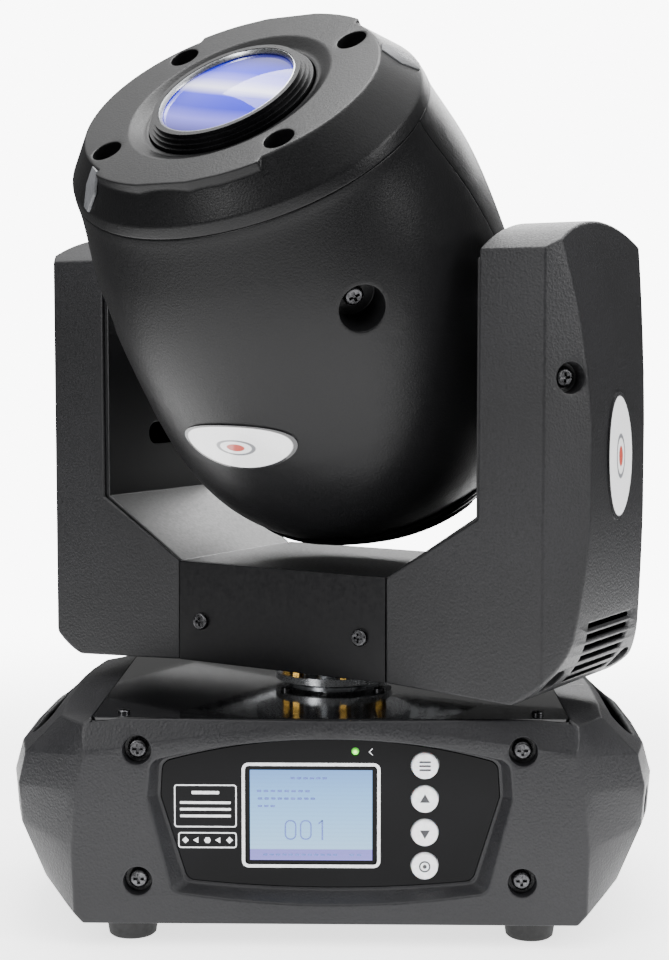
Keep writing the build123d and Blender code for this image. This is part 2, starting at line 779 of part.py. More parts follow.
def safety_eye():
    """Steel eye for the safety cable, through the rear cover with washers on both sides."""
    with BuildPart() as eye:
        with BuildLine() as path:
            start = (-eye_half_width, base_half_depth - cover_wall - 4, eye_height)
            bend = (-eye_half_width, base_half_depth + 5, eye_height)
            tip = (0, base_half_depth + 5 + eye_half_width, eye_height)
            Line(start, bend)
            ThreePointArc(bend, tip, (eye_half_width, bend[1], eye_height))
            Line((eye_half_width, bend[1], eye_height), (eye_half_width, start[1], eye_height))
        with BuildSketch(Plane(origin=start, z_dir=(0, 1, 0))):
            Circle(eye_rod_radius)
        sweep(path=path.wire())
        for face_y, thickness in ((base_half_depth, -1.6), (base_half_depth - cover_wall, 2.4)):
            with BuildSketch(Plane.XZ.offset(-face_y)):
                with Locations((-eye_half_width, eye_height), (eye_half_width, eye_height)):
                    Circle(5.0)
            extrude(amount=thickness)
    save(eye, "safety_eye", base_pose)


# ---- yoke ----

def arm_profile(inset):
    """Front view of one arm cover: straight inside, barrel shaped outside."""
    low = yoke_bottom + inset
    outer = arm_outer - inset
    with BuildLine() as line:
        Polyline((seam_x, seam_bottom + inset), (127, low))
        ThreePointArc((127, low), (141.5 - inset, 128 + inset), (outer - 5, 148))
        ThreePointArc((outer - 5, 148), (outer, 205), (arm_front_outer + 0.5 - inset, arm_top + 12))
        Polyline((arm_front_outer + 0.5 - inset, arm_top + 12), (arm_inner, arm_top + 12),
                 (arm_inner, gusset_top), (seam_x, yoke_floor), (seam_x, seam_bottom + inset))
    return line


def arm_block(inset):
    """Solid of the right arm: front, plan and side outlines taken together."""
    depth = yoke_half_depth - inset
    crown = arm_top - inset
    edge = arm_corner_height - inset
    with BuildPart() as block:
        with BuildSketch(Plane.XZ):
            add(arm_profile(inset).line)
            make_face()
        extrude(amount=depth, both=True)
        with BuildSketch(Plane.XY):
            with BuildLine():
                Polyline((0, -depth), (arm_front_outer - inset, -depth), (arm_outer - inset, -31),
                         (arm_outer + 1 - inset, 0), (arm_outer - inset, 31),
                         (arm_front_outer - inset, depth), (0, depth), close=True)
            make_face()
        extrude(amount=400, mode=Mode.INTERSECT)
        with BuildSketch(Plane.YZ):
            with BuildLine():
                ThreePointArc((-depth, edge), (0, crown), (depth, edge))
                Polyline((depth, edge), (depth, 0), (-depth, 0), (-depth, edge))
            make_face()
        extrude(amount=400, mode=Mode.INTERSECT)
    return block.part


arm_pocket_high = 268.0
arm_pocket_low = 131.0


def arm_pocket_planes():
    """Planes of the four screw pockets on the right arm's front and rear facets."""
    planes = []
    for side in (-1, 1):
        planes.append(Plane(origin=(149.5, side * 39, arm_pocket_high), x_dir=(0, 0, 1),
                            z_dir=(1, side * 0.75, 0)))
        planes.append(Plane(origin=(139.5, side * 37, arm_pocket_low), x_dir=(0, 1, 0),
                            z_dir=(1, side * 0.35, -1.2)))
    return planes


def arm_cavity():
    """Space inside the right arm cover, open at the seam with the centre plates."""
    with BuildPart() as cavity:
        add(arm_block(arm_wall))
        with BuildSketch(Plane.XZ):
            with BuildLine():
                Polyline((seam_x - 1, seam_bottom + arm_wall), (seam_x + 8, seam_bottom + arm_wall),
                         (seam_x + 8, yoke_floor + 20), (seam_x - 1, yoke_floor + 20), close=True)
            make_face()
        extrude(amount=frame_half_depth + 0.2, both=True)
    return cavity.part


def arm_cover(label, mirrored):
    """Moulded arm cover: a thin shell, open towards the frame, with vents and screw pockets."""
    outer_form = arm_block(0)
    with BuildPart() as cover:
        add(outer_form)
        add(arm_cavity(), mode=Mode.SUBTRACT)
        with BuildSketch(Plane.XZ):
            with BuildLine():
                Polyline((seam_x - 5, yoke_floor - sheet - 1), (seam_x - 5, gusset_top + 40),
                         (arm_inner - 6, arm_corner_height - 3.8), (arm_inner + 0.2, arm_corner_height - 3.8),
                         (arm_inner + 0.2, gusset_top - 1.4), (seam_x + 0.2, yoke_floor - sheet - 1),
                         close=True)
            make_face()
        extrude(amount=frame_half_depth + 0.2, both=True, mode=Mode.SUBTRACT)
        for plane in arm_pocket_planes():
            add(pocket_cup(plane, 9, 5, 14, outer_form))
            with BuildSketch(plane.offset(-7)):
                Circle(7)
            extrude(amount=30, mode=Mode.SUBTRACT)
            with BuildSketch(plane):
                Circle(2.2)
            extrude(amount=-20, mode=Mode.SUBTRACT)
        for step in range(6):
            height = 126 + 5.2 * step
            with BuildSketch(Plane.XY.offset(height)):
                with Locations((150, 2)):
                    Rectangle(30, 48)
            extrude(amount=2.4, mode=Mode.SUBTRACT)
    if mirrored:
        with BuildPart() as left:
            add(cover.part.mirror(Plane.YZ))
        save(left, label, yoke_pose)
    else:
        save(cover, label, yoke_pose)


def yoke_frame():
    """U frame of bent sheet steel: floor, two gussets and two upright walls with bearing holes."""
    wall_x = arm_inner - sheet
    with BuildPart() as frame:
        with BuildSketch(Plane.XZ):
            with BuildLine():
                Polyline((-arm_inner, arm_corner_height - 4), (-arm_inner, gusset_top - 0.6),
                         (-seam_x, yoke_floor - sheet), (seam_x, yoke_floor - sheet),
                         (arm_inner, gusset_top - 0.6), (arm_inner, arm_corner_height - 4),
                         (wall_x, arm_corner_height - 4), (wall_x, gusset_top + 0.6),
                         (seam_x - 0.6, yoke_floor), (-seam_x + 0.6, yoke_floor),
                         (-wall_x, gusset_top + 0.6), (-wall_x, arm_corner_height - 4), close=True)
            make_face()
        extrude(amount=frame_half_depth, both=True)
        with BuildSketch(Plane.YZ.offset(-200)):
            with Locations((0, tilt_axis_height)):
                Circle(tilt_bearing_radius)
            with Locations((0, 235)):
                SlotOverall(30, 12)
        extrude(amount=400, mode=Mode.SUBTRACT)
    save(frame, "yoke_frame", yoke_pose)


yoke_base_thickness = 3.0
yoke_base_height = 124.6


def yoke_base_plate():
    """Thick plate across the yoke, with end brackets that rise to the gussets."""
    half_length = 104.0
    with BuildPart() as plate:
        with BuildSketch(Plane.XY.offset(yoke_base_height)):
            Rectangle(2 * half_length, 2 * frame_half_depth - 1)
            Circle(pan_shaft_radius - 3, mode=Mode.SUBTRACT)
        extrude(amount=yoke_base_thickness)
        for side in (-1, 1):
            with BuildSketch(Plane.YZ.offset(side * (half_length - sheet / 2))):
                with Locations((0, yoke_base_height)):
                    Rectangle(2 * frame_half_depth - 1, 68, align=(Align.CENTER, Align.MIN))
                with Locations((0, tilt_motor_height)):
                    Circle(11.3, mode=Mode.SUBTRACT)
            extrude(amount=sheet / 2, both=True)
    save(plate, "yoke_base_plate", yoke_pose)


plate_screw_x = 47.0
plate_screw_height = 142.8


def yoke_centre_plates():
    """Front and rear centre plates between the arm covers, each with a turned under lip."""
    with BuildPart() as front:
        with BuildSketch(Plane.XZ.offset(yoke_half_depth - 1.8)):
            with BuildLine():
                Polyline((-seam_x + 0.3, seam_bottom), (seam_x - 0.3, seam_bottom),
                         (seam_x - 0.3, yoke_floor), (-seam_x + 0.3, yoke_floor), close=True)
            make_face()
            with Locations((-plate_screw_x, plate_screw_height), (plate_screw_x, plate_screw_height)):
                Circle(1.95, mode=Mode.SUBTRACT)
        extrude(amount=1.8)
        with BuildSketch(Plane.XY.offset(seam_bottom)):
            with Locations((0, 4.5 - yoke_half_depth)):
                Rectangle(2 * seam_x - 0.6, 9)
        extrude(amount=1.8)
    with BuildPart() as plates:
        add(front.part)
        add(front.part.mirror(Plane.XZ))
    save(plates, "yoke_centre_plates", yoke_pose)


def yoke_screws():
    """Screws of the centre plates and of the arm covers."""
    with BuildPart() as screws:
        for side in (-1, 1):
            for x in (-plate_screw_x, plate_screw_x):
                seat = Plane(origin=(x, side * yoke_half_depth, plate_screw_height), x_dir=(1, 0, 0),
                             z_dir=(0, side, 0))
                add(screw_solid(seat, 4.2, 2.2, 1.9, 1.8))
        for plane in arm_pocket_planes():
            right = screw_solid(plane.offset(-7), 4.4, 3.0, 2.0, 2.0)
            add(right)
            add(right.mirror(Plane.YZ))
    save(screws, "yoke_screws", yoke_pose)


def pan_shaft():
    """Hollow pan shaft with the round flange that the yoke's base plate sits on."""
    with BuildPart() as shaft:
        with BuildSketch(Plane.XY.offset(pan_belt_height - 8)):
            Circle(pan_shaft_radius)
            Circle(pan_shaft_radius - 3, mode=Mode.SUBTRACT)
        extrude(amount=yoke_base_height - pan_belt_height + 8)
        with BuildSketch(Plane.XY.offset(base_top + 3)):
            Circle(30)
            Circle(pan_shaft_radius - 1, mode=Mode.SUBTRACT)
        extrude(amount=3.5)
        with BuildSketch(Plane.XY.offset(yoke_base_height - 3.2)):
            Circle(40)
            Circle(pan_shaft_radius - 1, mode=Mode.SUBTRACT)
        extrude(amount=3.2)
    save(shaft, "pan_shaft", yoke_pose)


def pan_pulley():
    """Large toothed pan pulley with lightening holes, keyed on the shaft's lower end."""
    plane = Plane.XY.offset(pan_belt_height - 0.8)
    with BuildPart() as pulley:
        extrude(toothed_disc(pan_pulley_radius, pan_pulley_teeth, plane), amount=belt_width + 1.6)
        with BuildSketch(plane):
            Circle(pan_shaft_radius)
            with PolarLocations(30, 6):
                Circle(7)
        extrude(amount=belt_width + 1.6, mode=Mode.SUBTRACT)
        for start in (-1.2, belt_width + 1.6):
            with BuildSketch(plane.offset(start)):
                Circle(pan_pulley_radius + 2.0)
                Circle(pan_pulley_radius - 5.0, mode=Mode.SUBTRACT)
            extrude(amount=1.2)
    save(pulley, "pan_pulley", yoke_pose)


def hub_studs():
    """Six brass hexagon studs between the hub flanges."""
    low = base_top + 6.5
    with BuildPart() as studs:
        with BuildSketch(Plane.XY.offset(low)):
            with PolarLocations(25, 6, start_angle=15):
                RegularPolygon(3.2, 6)
        extrude(amount=yoke_base_height - 3.2 - low)
    save(studs, "hub_studs", yoke_pose)


def tilt_bearings():
    """Two flanged tilt bearings pressed into the walls of the U frame."""
    with BuildPart() as bearings:
        for side in (-1, 1):
            inner = Plane(origin=(side * (arm_inner - sheet), 0, tilt_axis_height), z_dir=(side, 0, 0))
            with BuildSketch(inner):
                Circle(tilt_bearing_radius)
                Circle(trunnion_radius + running_fit, mode=Mode.SUBTRACT)
            extrude(amount=sheet)
            with BuildSketch(inner.offset(sheet)):
                Circle(tilt_bearing_radius + 5)
                Circle(trunnion_radius + running_fit, mode=Mode.SUBTRACT)
            extrude(amount=3)
            with BuildSketch(inner.offset(sheet + 3)):
                Circle(tilt_bearing_radius - 2)
                Circle(trunnion_radius + running_fit, mode=Mode.SUBTRACT)
            extrude(amount=4)
    save(bearings, "tilt_bearings", yoke_pose)


tilt_motor_face = 102.0


def tilt_motor():
    """Tilt stepper lying in the yoke's box, its face on the end bracket."""
    face = Plane(origin=(tilt_motor_face, 0, tilt_motor_height), x_dir=(0, 1, 0), z_dir=(1, 0, 0))
    with BuildPart() as motor:
        add(stepper(face, 38, 2))
    save(motor, "tilt_motor", yoke_pose)


badge_height = 231.0
badge_thickness = 0.8


def arm_badges():
    """Oval badges on the outer faces of both arms."""
    with BuildPart() as badge:
        with BuildSketch(Plane.YZ.offset(arm_outer + 3)):
            with Locations((0, badge_height)):
                Ellipse(14, 30)
        extrude(amount=-12)
        add(arm_block(-badge_thickness), mode=Mode.INTERSECT)
        add(arm_block(0), mode=Mode.SUBTRACT)
    with BuildPart() as badges:
        add(badge.part)
        add(badge.part.mirror(Plane.YZ))
    save(badges, "arm_badges", yoke_pose)


# ---- head ----

def head_solid(inset):
    """Barrel shaped head body lofted through its elliptic sections."""
    with BuildPart() as body:
        for height, half_width, half_depth in head_sections:
            low_end = height == head_sections[-1][0]
            with BuildSketch(Plane.XY.offset(height + (inset if low_end else 0))):
                Ellipse(half_width - inset, half_depth - inset)
        loft()
    return body.part


split_slope = 0.25
shell_split = Plane(origin=(0, 7 + split_slope * 102, 0), x_dir=(1, 0, 0), z_dir=(0, 1, split_slope))


def head_shell(label, front):
    """One half of the head's shell with its screw pockets and end vents."""
    side = -1 if front else 1
    outer_form = head_solid(0)
    with BuildPart() as shell:
        add(outer_form)
        add(head_solid(shell_wall), mode=Mode.SUBTRACT)
        with BuildSketch(Plane.XY.offset(bezel_seam - 3)):
            Ellipse(88, 75.6)
        extrude(amount=6, mode=Mode.SUBTRACT)
        with BuildSketch(Plane.YZ.offset(-150)):
            Circle(trunnion_radius + 5)
        extrude(amount=300, mode=Mode.SUBTRACT)
        pocket_x, pocket_y, pocket_z = head_pocket
        for x in (-pocket_x, pocket_x):
            hole = Plane(origin=(x, side * pocket_y, pocket_z), x_dir=(0, 0, 1), z_dir=(x, side * 74, -6))
            add(pocket_cup(hole, 13, 6, 24, outer_form))
            with BuildSketch(hole.offset(8)):
                Circle(10.8)
            extrude(amount=-24, mode=Mode.SUBTRACT)
            with BuildSketch(hole):
                Circle(2.4)
            extrude(amount=-30, mode=Mode.SUBTRACT)
        for step in range(4):
            height = -74 - 6.2 * step
            half_depth = 60
            with BuildSketch(Plane.XY.offset(height)):
                with Locations((0, side * (half_depth + 20))):
                    Rectangle(74 - 9 * step, 100)
            extrude(amount=-2.4, mode=Mode.SUBTRACT)
        with BuildSketch(Plane.XY.offset(-110)):
            with GridLocations(8, 1, 7, 1):
                SlotOverall(52, 3.6, rotation=90)
        extrude(amount=20, mode=Mode.SUBTRACT)
        split(bisect_by=shell_split, keep=Keep.BOTTOM if front else Keep.TOP)
    save(shell, label, head_pose)


def head_bezel():
    """Front bezel: flared ring, front plate with four deep holes, conical recess and corner tabs."""
    with BuildPart() as bezel:
        with BuildSketch(Plane.XY.offset(bezel_seam)):
            Ellipse(92, 79.6)
        with BuildSketch(Plane.XY.offset(bezel_seam + 6)):
            Ellipse(90.6, 78.4)
        loft(ruled=True)
        with BuildSketch(Plane.XY.offset(bezel_seam + 6)):
            Ellipse(90.6, 78.4)
        with BuildSketch(Plane.XY.offset(bezel_plate)):
            Ellipse(75.5, 66.5)
        loft(ruled=True)
        for side in (-1, 1):
            with BuildSketch(Plane.XY.offset(bezel_seam + 8)):
                with BuildLine():
                    Polyline((side * -46, side * 40), (side * -46, side * 61), (side * -14, side * 69),
                             (side * 43, side * 69), (side * 43, side * 40), close=True)
                make_face()
                Ellipse(79, 70, mode=Mode.INTERSECT)
            extrude(amount=bezel_plate - bezel_seam - 8)
        with BuildSketch(Plane.XY.offset(bezel_seam - 0.01)):
            Ellipse(89, 76.6)
        with BuildSketch(Plane.XY.offset(bezel_plate - 3.5)):
            Ellipse(74, 65)
        loft(ruled=True, mode=Mode.SUBTRACT)
        with BuildSketch(Plane.XY.offset(bezel_plate)):
            Circle(50.3)
        with BuildSketch(Plane.XY.offset(bezel_plate - 3.4)):
            Circle(44)
        loft(mode=Mode.SUBTRACT)
        with BuildSketch(Plane.XY.offset(bezel_plate - 12)):
            with GridLocations(2 * bezel_hole_x, 2 * bezel_hole_y, 2, 2):
                Circle(bezel_hole_radius + 2)
        extrude(amount=10)
        with BuildSketch(Plane.XY.offset(bezel_plate)):
            with GridLocations(2 * bezel_hole_x, 2 * bezel_hole_y, 2, 2):
                Circle(bezel_hole_radius)
        extrude(amount=-10, mode=Mode.SUBTRACT)
        with BuildSketch(Plane.XY.offset(bezel_plate - 10)):
            with GridLocations(2 * bezel_hole_x, 2 * bezel_hole_y, 2, 2):
                Circle(2.4)
        extrude(amount=-4, mode=Mode.SUBTRACT)
        with BuildSketch(Plane.XY.offset(bezel_plate - 16)):
            Circle(46)
            Circle(barrel_radius + 0.6, mode=Mode.SUBTRACT)
        extrude(amount=12.6)
        with BuildSketch(Plane.XY.offset(bezel_plate - 20)):
            Circle(barrel_radius + 0.6)
        extrude(amount=20, mode=Mode.SUBTRACT)
    save(bezel, "head_bezel", head_pose)


def head_screws():
    """Bezel screws at the bottom of the four holes, and the shell screws in their pockets."""
    with BuildPart() as screws:
        for x in (-bezel_hole_x, bezel_hole_x):
            for y in (-bezel_hole_y, bezel_hole_y):
                seat = Plane(origin=(x, y, bezel_plate - 10), x_dir=(1, 0, 0), z_dir=(0, 0, 1))
                add(screw_solid(seat, 4.4, 2.6, 2.0, 2.0))
        pocket_x, pocket_y, pocket_z = head_pocket
        for side in (-1, 1):
            for x in (-pocket_x, pocket_x):
                hole = Plane(origin=(x, side * pocket_y, pocket_z), x_dir=(0, 0, 1),
                             z_dir=(x, side * 74, -6))
                add(screw_solid(hole.offset(-16), 4.8, 3.2, 2.2, 1.8))
    save(screws, "head_screws", head_pose)


def head_badge():
    """Oval badge on the front shell."""
    with BuildPart() as badge:
        with BuildSketch(Plane.XZ.offset(110)):
            with Locations((0, 14)):
                Ellipse(32, 13.5)
        extrude(amount=-20)
        add(head_solid(-badge_thickness), mode=Mode.INTERSECT)
        add(head_solid(0), mode=Mode.SUBTRACT)
    save(badge, "head_badge", head_pose)


chassis_x = 79.0
chassis_low = -32.0
chassis_high = 72.0


def head_chassis():
    """Folded steel chassis: two side plates, the engine plate, the effects plate and the lens plate."""
    with BuildPart() as chassis:
        for side in (-1, 1):
            with BuildSketch(Plane.YZ.offset(side * chassis_x)):
                with Locations((0, (chassis_low + chassis_high) / 2)):
                    RectangleRounded(70, chassis_high - chassis_low, 4)
            extrude(amount=sheet / 2, both=True)
        with BuildSketch(Plane.XY.offset(chassis_low)):
            Rectangle(2 * chassis_x, 70)
            Circle(16, mode=Mode.SUBTRACT)
        extrude(amount=sheet)
        with BuildSketch(Plane.XY.offset(-14)):
            Rectangle(2 * chassis_x, 70)
            Circle(13, mode=Mode.SUBTRACT)
            with Locations((0, wheel_offset - 8), (0, 8 - wheel_offset)):
                Circle(3.5, mode=Mode.SUBTRACT)
        extrude(amount=sheet)
        with BuildSketch(Plane.XY.offset(chassis_high - sheet)):
            Rectangle(2 * chassis_x, 70)
            Circle(34, mode=Mode.SUBTRACT)
        extrude(amount=sheet)
    save(chassis, "head_chassis", head_pose)


def tilt_shafts():
    """Two hollow trunnions with flanges on the chassis, through shell, frame and bearings."""
    with BuildPart() as shafts:
        for side in (-1, 1):
            start = Plane(origin=(side * (chassis_x + sheet / 2), 0, 0), z_dir=(side, 0, 0))
            with BuildSketch(start):
                Circle(22)
            extrude(amount=3)
            with BuildSketch(start):
                Circle(trunnion_radius)
            extrude(amount=133 - chassis_x if side > 0 else 42)
            with BuildSketch(start):
                Circle(trunnion_radius - 4)
            extrude(amount=70, mode=Mode.SUBTRACT)
    save(shafts, "tilt_shafts", head_pose)


def tilt_pulley():
    """Toothed tilt pulley on the right trunnion."""
    plane = Plane(origin=(tilt_belt_x - 0.8 - belt_width / 2, 0, 0), x_dir=(0, 1, 0), z_dir=(1, 0, 0))
    with BuildPart() as pulley:
        extrude(toothed_disc(tilt_pulley_radius, tilt_pulley_teeth, plane), amount=belt_width + 1.6)
        with BuildSketch(plane):
            Circle(trunnion_radius)
            with PolarLocations(24, 6):
                Circle(5.5)
        extrude(amount=belt_width + 1.6, mode=Mode.SUBTRACT)
        for start in (-1.2, belt_width + 1.6):
            with BuildSketch(plane.offset(start)):
                Circle(tilt_pulley_radius + 2.0)
                Circle(tilt_pulley_radius - 4.0, mode=Mode.SUBTRACT)
            extrude(amount=1.2)
    save(pulley, "tilt_pulley", head_pose)


def lens_barrel():
    """Lens barrel with stepped outer rings that rise to the lens rim."""
    with BuildPart() as barrel:
        with BuildSketch(Plane.XZ):
            with BuildLine():
                Polyline((barrel_radius, chassis_high), (barrel_radius, 140), (barrel_radius - 1.4, 140),
                         (barrel_radius - 1.4, 141.8), (barrel_radius - 2.8, 141.8),
                         (barrel_radius - 2.8, 143.6), (barrel_radius - 4.2, 143.6),
                         (barrel_radius - 4.2, lens_rim), (lens_radius + 0.2, lens_rim),
                         (lens_radius + 0.2, lens_seat), (lens_radius - 2, lens_seat),
                         (lens_radius - 2, chassis_high + 3), (30, chassis_high + 3),
                         (30, chassis_high), close=True)
            make_face()
        revolve(axis=Axis.Z)
    save(barrel, "lens_barrel", head_pose)


def domed_disc(radius, low, edge, crown):
    """Lens solid: flat underneath, its rim cylindrical and its top part of a sphere."""
    rise = crown - edge
    sphere_radius = (radius ** 2 + rise ** 2) / (2 * rise)
    with BuildPart() as disc:
        with Locations((0, 0, low)):
            Cylinder(radius, crown - low, align=(Align.CENTER, Align.CENTER, Align.MIN))
        with Locations((0, 0, crown - sphere_radius)):
            Sphere(sphere_radius, mode=Mode.INTERSECT)
    return disc.part


def front_lens():
    """Plano convex front lens in its seat."""
    with BuildPart() as lens:
        add(domed_disc(lens_radius, lens_seat, lens_rim - 3, lens_rim + 3.5))
    save(lens, "front_lens", head_pose)


focus_rod_x = 53.0


def focus_rods():
    """Two polished guide rods of the focus carriage, between the chassis plates."""
    with BuildPart() as rods:
        with BuildSketch(Plane.XY.offset(-12)):
            with Locations((-focus_rod_x, -20), (focus_rod_x, -20)):
                Circle(3)
        extrude(amount=chassis_high - sheet + 12)
    save(rods, "focus_rods", head_pose)


def focus_carriage():
    """Focus carriage: a lens ring on a plate that slides on the two rods."""
    low = 30.0
    with BuildPart() as carriage:
        with BuildSketch(Plane.XY.offset(low)):
            Rectangle(2 * focus_rod_x + 14, 58)
            Circle(24, mode=Mode.SUBTRACT)
            with Locations((-focus_rod_x, -20), (focus_rod_x, -20)):
                Circle(3 + running_fit, mode=Mode.SUBTRACT)
        extrude(amount=3)
        with BuildSketch(Plane.XY.offset(low - 3)):
            Circle(27)
            Circle(24, mode=Mode.SUBTRACT)
        extrude(amount=12)
        with BuildSketch(Plane.XY.offset(low - 2)):
            with Locations((-focus_rod_x, -20), (focus_rod_x, -20)):
                Circle(6)
                Circle(3 + running_fit, mode=Mode.SUBTRACT)
        extrude(amount=10)
        add(domed_disc(25, low, low + 3, low + 8))
    save(carriage, "focus_carriage", head_pose)


def led_engine():
    """Light engine: copper carrier, LED array and its collimator."""
    with BuildPart() as engine:
        with BuildSketch(Plane.XY.offset(chassis_low - 5)):
            Rectangle(50, 50)
        extrude(amount=5)
        with BuildSketch(Plane.XY.offset(chassis_low)):
            Rectangle(21, 21)
        extrude(amount=2)
        with BuildSketch(Plane.XY.offset(chassis_low + 2)):
            Circle(7)
        with BuildSketch(Plane.XY.offset(chassis_low + 15)):
            Circle(12)
        loft()
    save(engine, "led_engine", head_pose)


def heat_sink():
    """Extruded heat sink: round base and straight fins."""
    top = chassis_low - 5
    with BuildPart() as sink:
        with BuildSketch(Plane.XY.offset(top)):
            Circle(56)
        extrude(amount=-5)
        with BuildSketch(Plane.XY.offset(top - 5)):
            with GridLocations(6.2, 1, 17, 1):
                Rectangle(1.8, 110)
            Circle(56, mode=Mode.INTERSECT)
        extrude(amount=-22)
    save(sink, "heat_sink", head_pose)


fan_plane = Plane.XY.offset(-81.0)


def fan_frame():
    """Frame of the cooling fan with its hub struts."""
    with BuildPart() as frame:
        with BuildSketch(fan_plane):
            RectangleRounded(80, 80, 6)
            Circle(37, mode=Mode.SUBTRACT)
            with GridLocations(71, 71, 2, 2):
                Circle(2.2, mode=Mode.SUBTRACT)
        extrude(amount=15)
        with BuildSketch(fan_plane):
            Circle(15)
            with PolarLocations(26, 4, start_angle=45):
                Rectangle(24, 3)
        extrude(amount=2)
    save(frame, "fan_frame", head_pose)


def fan_blade():
    """One pitched blade, trimmed to the impeller's height and sweep."""
    middle = Plane(origin=(0, 0, fan_plane.origin.Z + 8), x_dir=(1, 0, 0), z_dir=(0, 0, 1))
    with BuildPart() as blade:
        with BuildSketch(middle.rotated((38, 0, 0))):
            with Locations((24.6, 0)):
                Rectangle(22, 15)
        extrude(amount=0.8, both=True)
        with BuildSketch(fan_plane.offset(2.6)):
            Circle(35.6)
        extrude(amount=11, mode=Mode.INTERSECT)
    return blade.part


def fan_impeller():
    """Fan impeller with seven pitched blades."""
    blade = fan_blade()
    with BuildPart() as impeller:
        with BuildSketch(fan_plane.offset(2.6)):
            Circle(15)
        extrude(amount=11)
        fillet(impeller.edges().sort_by(Axis.Z)[-1], 1.5)
        for number in range(7):
            add(blade.rotate(Axis.Z, 360 / 7 * number))
    save(impeller, "fan_impeller", head_pose)


def effect_wheel(label, height, side, openings, opening_radius):
    """Effect wheel: thin disc with a ring of openings and a hub on the chassis plate."""
    with BuildPart() as wheel:
        with BuildSketch(Plane.XY.offset(height)):
            with Locations((0, side * (wheel_offset - 8))):
                Circle(wheel_radius)
                with PolarLocations(wheel_offset - 8, openings, start_angle=-90 * side):
                    Circle(opening_radius, mode=Mode.SUBTRACT)
        extrude(amount=1.5)
        with BuildSketch(Plane.XY.offset(-11)):
            with Locations((0, side * (wheel_offset - 8))):
                Circle(3.0)
        extrude(amount=height + 11)
        with BuildSketch(Plane.XY.offset(height + 1.5)):
            with Locations((0, side * (wheel_offset - 8))):
                Circle(8)
        extrude(amount=3)
        with BuildSketch(Plane.XY.offset(height + 0.3)):
            with Locations((0, side * (wheel_offset - 8))):
                with PolarLocations(wheel_offset - 8, openings, start_angle=-90 * side):
                    Circle(opening_radius + 0.6)
        extrude(amount=0.9)
    save(wheel, label, head_pose)


def build_base():
    base_front_cover()
    base_rear_cover()
    base_tray()
    base_feet()
    base_top_plate()
    base_screws()
    display_fascia()
    lcd_module()
    display_board()
    for name, height in zip(("menu_button", "up_button", "down_button", "enter_button"), button_heights):
        push_button(name, height)
    status_led()
    power_supply()
    control_board()
    pan_motor()
    pan_pulley_top = Plane(origin=(*pan_motor_place, pan_belt_height + belt_width + 0.8),
                           x_dir=(1, 0, 0), z_dir=(0, 0, -1))
    motor_pulley("pan_motor_pulley", pan_pulley_top, 7.0, base_pose)
    reach = Vector(*pan_motor_place, 0)
    drive_belt("pan_belt", Plane.XY.offset(pan_belt_height), reach.length,
               degrees(atan2(reach.Y, reach.X)), pan_pulley_radius, base_pose)
    pan_bearing()
    rear_panel()
    power_inlet()
    dmx_input()
    dmx_output()
    fuse_holder()
    switch_frame()
    power_rocker()
    safety_eye()


def build_yoke():
    yoke_frame()
    yoke_base_plate()
    yoke_centre_plates()
    arm_cover("right_arm_cover", False)
    arm_cover("left_arm_cover", True)
    yoke_screws()
    pan_shaft()
    pan_pulley()
    hub_studs()
    tilt_bearings()
    tilt_motor()
    belt_plane = Plane(origin=(tilt_belt_x - belt_width / 2, 0, tilt_axis_height), x_dir=(0, 1, 0),
                       z_dir=(1, 0, 0))
    drive_belt("tilt_belt", belt_plane, tilt_axis_height - tilt_motor_height, -90,
               tilt_pulley_radius, yoke_pose)
    tilt_pulley_inner = Plane(origin=(tilt_belt_x - belt_width / 2 - 0.8, 0, tilt_motor_height),
                              x_dir=(0, 1, 0), z_dir=(1, 0, 0))
    motor_pulley("tilt_motor_pulley", tilt_pulley_inner, 18.0, yoke_pose)
    arm_badges()


def build_head():
    head_bezel()
    head_shell("head_front_shell", True)
    head_shell("head_rear_shell", False)
    head_screws()
    head_badge()
    head_chassis()
    tilt_shafts()
    tilt_pulley()
    lens_barrel()
    front_lens()
    focus_rods()
    focus_carriage()
    led_engine()
    heat_sink()
    fan_frame()
    fan_impeller()
    effect_wheel("colour_wheel", 3.0, 1, 8, 9.0)
    effect_wheel("gobo_wheel", 12.0, -1, 7, 9.5)


os.makedirs("parts", exist_ok=True)
build_base()
build_yoke()
build_head()
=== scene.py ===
from math import cos, pi, radians, sin

import bmesh
import bpy
from mathutils import Matrix, Vector


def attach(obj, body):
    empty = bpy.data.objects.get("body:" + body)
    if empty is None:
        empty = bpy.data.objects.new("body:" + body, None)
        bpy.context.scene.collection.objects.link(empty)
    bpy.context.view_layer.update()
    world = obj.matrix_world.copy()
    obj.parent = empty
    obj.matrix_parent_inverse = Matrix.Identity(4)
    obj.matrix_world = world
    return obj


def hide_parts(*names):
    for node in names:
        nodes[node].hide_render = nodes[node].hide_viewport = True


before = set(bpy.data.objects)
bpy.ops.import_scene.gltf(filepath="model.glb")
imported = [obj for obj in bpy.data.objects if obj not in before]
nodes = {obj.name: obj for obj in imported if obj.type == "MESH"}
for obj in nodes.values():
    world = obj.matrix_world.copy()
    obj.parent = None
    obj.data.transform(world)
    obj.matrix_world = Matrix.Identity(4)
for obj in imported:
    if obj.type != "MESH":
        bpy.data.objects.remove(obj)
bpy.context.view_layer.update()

# Moving head light: the frame stands still and every added piece rides on one of its bodies.
mm = 0.001
restPose = {"pan": 31, "tilt": 40, "tiltHeight": 289}
yokeFrame = Matrix.Rotation(radians(-restPose["pan"]), 4, "Z")
headFrame = (yokeFrame @ Matrix.Translation((0, 0, restPose["tiltHeight"] * mm))
             @ Matrix.Rotation(radians(restPose["tilt"]), 4, "X"))
frontFrame = Matrix.Rotation(radians(90), 4, "X")  # flat work facing the display side, drawn in X and Z


# ---- small helpers ----

